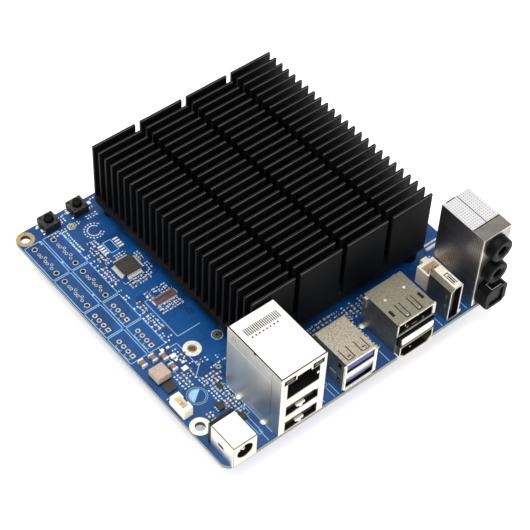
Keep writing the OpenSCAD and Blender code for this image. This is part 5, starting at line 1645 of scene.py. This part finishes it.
@dataclass
class SoundStack:
    """Two round sound jacks over an optical port, in a tall zinc can with a dimpled skin."""

    repeat: Repeater
    jack_z: tuple[float, ...] = (16.6, 28.0)
    dimple_pitch: float = 0.95

    def build(self) -> None:
        """Builds can, jacks, port and shutter."""
        formed("audio_can", ZINC, 0.12)
        formed("audio_core", NYLON, 0.08)
        formed("optical_port", GLOSSY, 0.22)
        formed("optical_shutter", NYLON, 0.08, "shutter")
        for node, z in zip(("lower_jack", "upper_jack"), self.jack_z):
            self.jack(node, z)
        self.can_skin()
        self.port_outline()

    def jack(self, node: str, z: float) -> None:
        """Turns one jack: a thick barrel with a rounded nose, a face ring round the bore in painted highlight and a
        sleeve contact.

        Args:
            node: the jack's CAD node.
            z: height of its axis.
        """
        low, high = node_box(node)
        x, radius = (low.x + high.x) / 2, (high.x - low.x) / 2
        front, back = low.y, high.y
        nose = [(radius * math.sin(math.radians(a)) * 0.12 + radius * 0.88,
                 front + 0.55 * (1 - math.sin(math.radians(90 - a)))) for a in (0, 30, 60, 90)]
        profile = [(1.8, front + 0.5), (2.0, front + 0.3), (2.5, front + 0.3), (2.7, front)] + nose
        profile += [(radius, 2.3), (3.4, 2.3), (3.4, back), (1.2, back), (1.2, back - 1.1), (1.8, back - 1.1)]
        barrel = Workpiece().turned((x, 0, z), profile, "y", 44)
        barrel.piece(node + "_barrel", GLOSSY, "black_gloss_plastic", stands_for=(node,))
        # The ring round the bore is a painted highlight, greyer than the barrel.
        face = Workpiece().turned((x, 0, z), [(2.3, front + 0.29), (2.52, front + 0.28), (2.72, front - 0.01),
                                              (3.3, front - 0.01), (3.3, front + 0.2), (2.3, front + 0.4)], "y", 44)
        face.piece(node + "_ground_face", JACK_PAINTED_HIGHLIGHT, "black_gloss_plastic")
        sleeve = [(1.78, front + 3), (1.6, front + 3.2), (1.6, front + 4), (1.78, front + 4.2)]
        contact = Workpiece().turned((x, 0, z), sleeve, "y", 28)
        contact.piece(node + "_sleeve_contact", SPRING, "spring_steel")

    def can_skin(self) -> None:
        """Dimples the can's top and side, with painted shade in the top dimples and a painted reflection in the
        side ones, and adds its seams, top face, front band and front flange.
        """
        low, high = node_box("audio_can")
        columns = int((high.x - low.x - 1.2) / self.dimple_pitch) + 1
        rows = int((high.y - low.y - 6.6) / self.dimple_pitch) + 1
        # The top dimples are small bumps in a darker zinc: painted shade for the hollow of each dimple.
        dimple = Workpiece().turned(ORIGIN, [(0, 0), (0.3, 0), (0.2, 0.05), (0, 0.05)], sides=8)
        first = (low.x + 0.65, low.y + 6.3, high.z + 0.005)
        self.repeat.in_rows(first, (columns, (self.dimple_pitch, 0, 0)), (rows, (0, self.dimple_pitch, 0)),
                            dimple, "audio_can_top_dimples", ZINC_DIMPLE_PAINTED_SHADE, "zinc_steel")
        # The side dimples carry a painted warm reflection of the parts beside the can.
        side = Workpiece().turned(ORIGIN, [(0, -0.05), (0.2, -0.05), (0.3, 0), (0, 0)], "x", 8)
        rows = int((high.z - 1.6) / self.dimple_pitch)
        columns = int((high.y - low.y - 1.4) / self.dimple_pitch)
        self.repeat.in_rows((low.x, low.y + 1.0, 1.0), (columns, (0, self.dimple_pitch, 0)),
                            (rows, (0, 0, self.dimple_pitch)), side, "audio_can_side_dimples", ZINC_SIDE_PAINTED_REFLECTION,
                            "zinc_steel")
        seam = Workpiece()
        skin = (high.z, high.z + 0.06)
        middle = (low.x + high.x) / 2 + 0.2
        seam.ribbon([(middle, low.y + 5.8), (middle, high.y - 0.4)], 0.3, skin)
        seam.ribbon([(low.x + 0.3, low.y + 5.6), (high.x - 0.3, low.y + 5.6)], 0.36, skin)
        seam.ribbon([(low.x + 1.8, high.y - 0.25), (low.x + 5.4, high.y - 0.25)], 0.42, skin)
        seam.piece("audio_can_seam", SHADOW, "zinc_steel")
        top = Workpiece().block((low.x + 0.15, high.x - 0.15), (low.y + 5.7, high.y - 0.15),
                                (high.z - 0.05, high.z + 0.02))
        top.piece("audio_can_top_face", ZINC_TOP, "zinc_steel")
        band = Workpiece().block((low.x + 0.1, high.x - 0.1), (low.y, low.y + 5.4), (high.z - 0.1, high.z + 0.05))
        band.soften(0.04, 1).piece("audio_can_front_band", BAND, "zinc_steel")
        flange = Workpiece()
        for x in ((low.x - 0.1, low.x + 0.5), (high.x - 0.5, high.x + 0.1)):
            flange.block(x, (low.y - 0.12, low.y + 0.6), (0.6, high.z - 0.1))
        flange.block((low.x, high.x), (low.y - 0.12, low.y + 0.5), (high.z - 0.5, high.z))
        flange.soften(0.1, 1).piece("audio_can_front_flange", TINNED, "zinc_steel")

    def port_outline(self) -> None:
        """Presses a pale outline into the optical port's top."""
        low, high = node_box("optical_port")
        x = (low.x + 2.2, high.x - 3.0)
        y = (low.y + 0.4, -1.2)
        line = Workpiece().ribbon([(x[1], y[0]), (x[0], y[0]), (x[0], y[1]), (x[0] + 3.4, y[1])], 0.16,
                                  (high.z, high.z + 0.02))
        line.piece("optical_port_outline", WHITE_RING, "black_gloss_plastic")


@dataclass
class PushSwitches:
    """Two push switches at the back edge: moulded base, steel cover and a black button each."""

    repeat: Repeater

    def build(self) -> None:
        """Builds both switches and their legs."""
        for name in ("power", "reset"):
            formed(f"{name}_switch_base", NYLON, 0.15)
            formed(f"{name}_switch_cover", COVER, 0.06)
            self.button(f"{name}_button")
            self.rivets(f"{name}_switch_cover")
        formed("switch_legs", SPRING, 0.04)

    def button(self, node: str) -> None:
        """Turns a button with a domed top.

        Args:
            node: the button's CAD node, which is also its body.
        """
        low, high = node_box(node)
        x, y = (low.x + high.x) / 2, (low.y + high.y) / 2
        flange_r, radius = (high.x - low.x) / 2, 1.7
        dome = [(radius * math.cos(math.radians(a)) * 0.3 + radius * 0.7,
                 high.z - 0.35 + 0.35 * math.sin(math.radians(a))) for a in (0, 30, 60, 90)]
        profile = [(0, low.z), (flange_r, low.z), (flange_r, low.z + 0.7), (radius, low.z + 0.7)]
        work = Workpiece().turned((x, y, 0), profile + dome + [(0, high.z)], sides=36)
        work.piece(node + "_cap", GLOSSY, "black_gloss_plastic", node, (node,))

    def rivets(self, node: str) -> None:
        """Rounds the heads of the four plastic pegs that hold a switch's cover.

        Args:
            node: the cover's CAD node.
        """
        low, high = node_box(node)
        spots = [(x, y, high.z) for x in (low.x + 0.9, high.x - 0.9) for y in (low.y + 0.9, high.y - 0.9)]
        head = [(0, 0), (0.45, 0), (0.38, 0.16), (0, 0.2)]
        self.repeat.on_spots(spots, Workpiece().turned(ORIGIN, head, sides=14), node + "_pegs", NYLON,
                             "black_nylon")


@dataclass
class Underside:
    """Sockets, latches, standoff, chips and pins on the board's lower face."""

    repeat: Repeater
    contact_pitch: float = 0.6
    memory_w: float = 69.6
    memory_x: float = 65.0
    part_areas: tuple[tuple[Range, Range], ...] = (
        ((22.0, 44.0), (20.0, 34.0)), ((70.0, 98.0), (26.0, 40.0)), ((30.0, 100.0), (100.0, 112.0)),
        ((9.0, 24.0), (68.0, 100.0)), ((48.0, 90.0), (26.0, 50.0)))
    parts_per_area: int = 26
    part_grid: float = 1.4

    def build(self) -> None:
        """Builds everything below the board."""
        for name in ("tall", "low"):
            node = f"{name}_memory_socket"
            formed(node, NYLON, 0.15)
            self.socket_contacts(node)
            for side in ("left", "right"):
                latch = f"{name}_latch_{side}"
                formed(latch, SPRING, 0.06, latch)
        formed("drive_socket", NYLON, 0.15)
        self.drive_contacts()
        formed("drive_standoff", GOLD, 0.1)
        formed("underside_chips", EPOXY, 0.1)
        formed("shield_legs", SOLDER, 0.12)
        self.lower_pads()

    def socket_contacts(self, node: str) -> None:
        """Lays the soldered feet of a memory socket's contacts along the front of its bar.

        Args:
            node: the socket's CAD node.
        """
        low, high = node_box(node)
        count = int((self.memory_w - 2) / self.contact_pitch)
        first = self.memory_x - (count - 1) / 2 * self.contact_pitch
        foot = slab(0.25, 1.0, 0.16, -0.16)
        self.repeat.in_rows((first, low.y - 0.35, high.z), (count, (self.contact_pitch, 0, 0)), ONE,
                            foot, node + "_feet", TIN, "gold_plate")

    def drive_contacts(self) -> None:
        """Lays the soldered feet of the drive socket."""
        low, high = node_box("drive_socket")
        count = int((high.y - low.y - 3) / self.contact_pitch)
        self.repeat.in_rows((high.x + 0.3, low.y + 1.5, high.z), ONE,
                            (count, (0, self.contact_pitch, 0)), slab(0.9, 0.25, 0.16, -0.16),
                            "drive_socket_feet", TIN, "gold_plate")

    def lower_pads(self) -> None:
        """Fits small parts on the lower face, in rows."""
        chance = random.Random(SEED + 1)
        spots = []
        grid = self.part_grid
        for area in self.part_areas:
            for _ in range(self.parts_per_area):
                x, y = (chance.uniform(*area[0]), chance.uniform(*area[1]))
                turn = 90 * chance.randint(0, 1)
                spots.append((round(x / grid) * grid, round(y / grid) * grid, -BOARD_T, turn))
        spots = sorted(set(spots))
        ends = Workpiece()
        for side in (-1, 1):
            ends.block((side * 0.52 - 0.2, side * 0.52 + 0.2), (-0.27, 0.27), (-0.46, 0))
        self.repeat.on_spots(spots, ends, "lower_part_ends", TIN, "tinned_steel")
        self.repeat.on_spots(spots, slab(0.8, 0.5, 0.42, -0.44), "lower_part_bodies", CERAMIC,
                             "capacitor_ceramic")


# -------- studio


@dataclass
class Studio:
    """Plain pale floor, soft lights and the camera."""

    azimuth: float = -41.76
    elevation: float = 50.2
    roll: float = 3.3
    distance: float = 0.5604
    lens: float = 114.2
    target: tuple[float, float, float] = (-0.0058, -0.0094, 0.025)
    floor_side: float = 4.0
    floor_glow: float = 0.3
    world_strength: float = 0.66
    sensor_w: float = 36.0

    def build(self) -> None:
        """Builds floor, lights, world and camera."""
        self.floor()
        self.lights()
        self.world()
        self.camera()

    def floor(self) -> None:
        """Lays a white floor under the object."""
        half = self.floor_side / 2
        mesh = bpy.data.meshes.new("floor")
        corners = [(-half, -half, 0), (half, -half, 0), (half, half, 0), (-half, half, 0)]
        mesh.from_pydata(corners, [], [(0, 1, 2, 3)])
        # Matt white studio board, so that only soft shadows show on it.
        finish = Finish("white studio board", "#f7f7f7", "#f4f4f4", 0.9, stain_mm=400, grain_mm=2, grain_depth=0)
        material = finish.material()
        shader = next(n for n in material.node_tree.nodes if n.type == "BSDF_PRINCIPLED")
        # Lit from beneath as a light table is, which keeps the shadows pale.
        shader.inputs["Emission Color"].default_value = linear("#ffffff")
        shader.inputs["Emission Strength"].default_value = self.floor_glow
        mesh.materials.append(material)
        made = bpy.data.objects.new("floor", mesh)
        show(made)

    def area_light(self, name: str, at: Sequence[float], aim: Sequence[float], size: float, power: float,
                   colour: str) -> None:
        """Hangs a square soft light.

        Args:
            name: name of the light.
            at: its place, in metres.
            aim: the point that it faces.
            size: its side, in metres.
            power: its power, in watts.
            colour: its sRGB hex colour.
        """
        lamp = bpy.data.lights.new(name, "AREA")
        lamp.size, lamp.energy = size, power
        lamp.color = linear(colour)[:3]
        made = bpy.data.objects.new(name, lamp)
        made.location = at
        made.rotation_euler = (Vector(aim) - Vector(at)).to_track_quat("-Z", "Y").to_euler()
        show(made)

    def lights(self) -> None:
        """Hangs a key light from the front left, a fill from the right and a large one overhead."""
        self.area_light("key", (-0.55, -0.95, 0.8), (0, 0, 0), 0.8, 8.0, "#fff8ee")
        self.area_light("fill", (0.9, -0.5, 0.6), (0, 0, 0), 0.8, 3.0, "#fffdfa")
        self.area_light("overhead", (-0.15, 0.15, 1.0), (0, 0, 0), 0.9, 8.0, "#ffffff")

    def world(self) -> None:
        """Surrounds the scene with even pale light."""
        made = bpy.data.worlds.new("studio")
        bpy.context.scene.world = made
        made.use_nodes = True
        background = made.node_tree.nodes["Background"]
        background.inputs["Color"].default_value = linear("#f7f6f4")
        background.inputs["Strength"].default_value = self.world_strength

    def camera(self) -> None:
        """Places the camera round its target and rolls it slightly."""
        a, e, r = (math.radians(v) for v in (self.azimuth, self.elevation, self.roll))
        back = Vector((math.sin(a) * math.cos(e), -math.cos(a) * math.cos(e), math.sin(e)))
        level = Vector((math.cos(a), math.sin(a), 0))
        over = back.cross(level)
        right = level * math.cos(r) + over * math.sin(r)
        up = back.cross(right)
        data = bpy.data.cameras.new("camera")
        data.lens, data.sensor_width = self.lens, self.sensor_w
        data.clip_start, data.clip_end = 0.01, 20.0
        made = bpy.data.objects.new("camera", data)
        made.matrix_world = Matrix.Translation(Vector(self.target) + back * self.distance) @ Matrix(
            (right, up, back)).transposed().to_4x4()
        show(made)
        bpy.context.scene.camera = made


def main() -> None:
    """Builds the studio and every sub-assembly in order."""
    logging.basicConfig(level=logging.INFO, format="%(message)s")
    bpy.context.scene.view_settings.view_transform = "Standard"
    Studio().build()
    repeat = Repeater()
    for part in (Board(repeat), SmallParts(repeat), Chips(repeat), Heatsink(repeat), PowerJack(),
                 NetworkStack(repeat), FastPorts(repeat), VideoPorts(repeat), SoundStack(repeat),
                 PushSwitches(repeat), Underside(repeat)):
        LOG.info("-- %s", type(part).__name__)
        part.build()


if __name__ == "__main__":
    main()
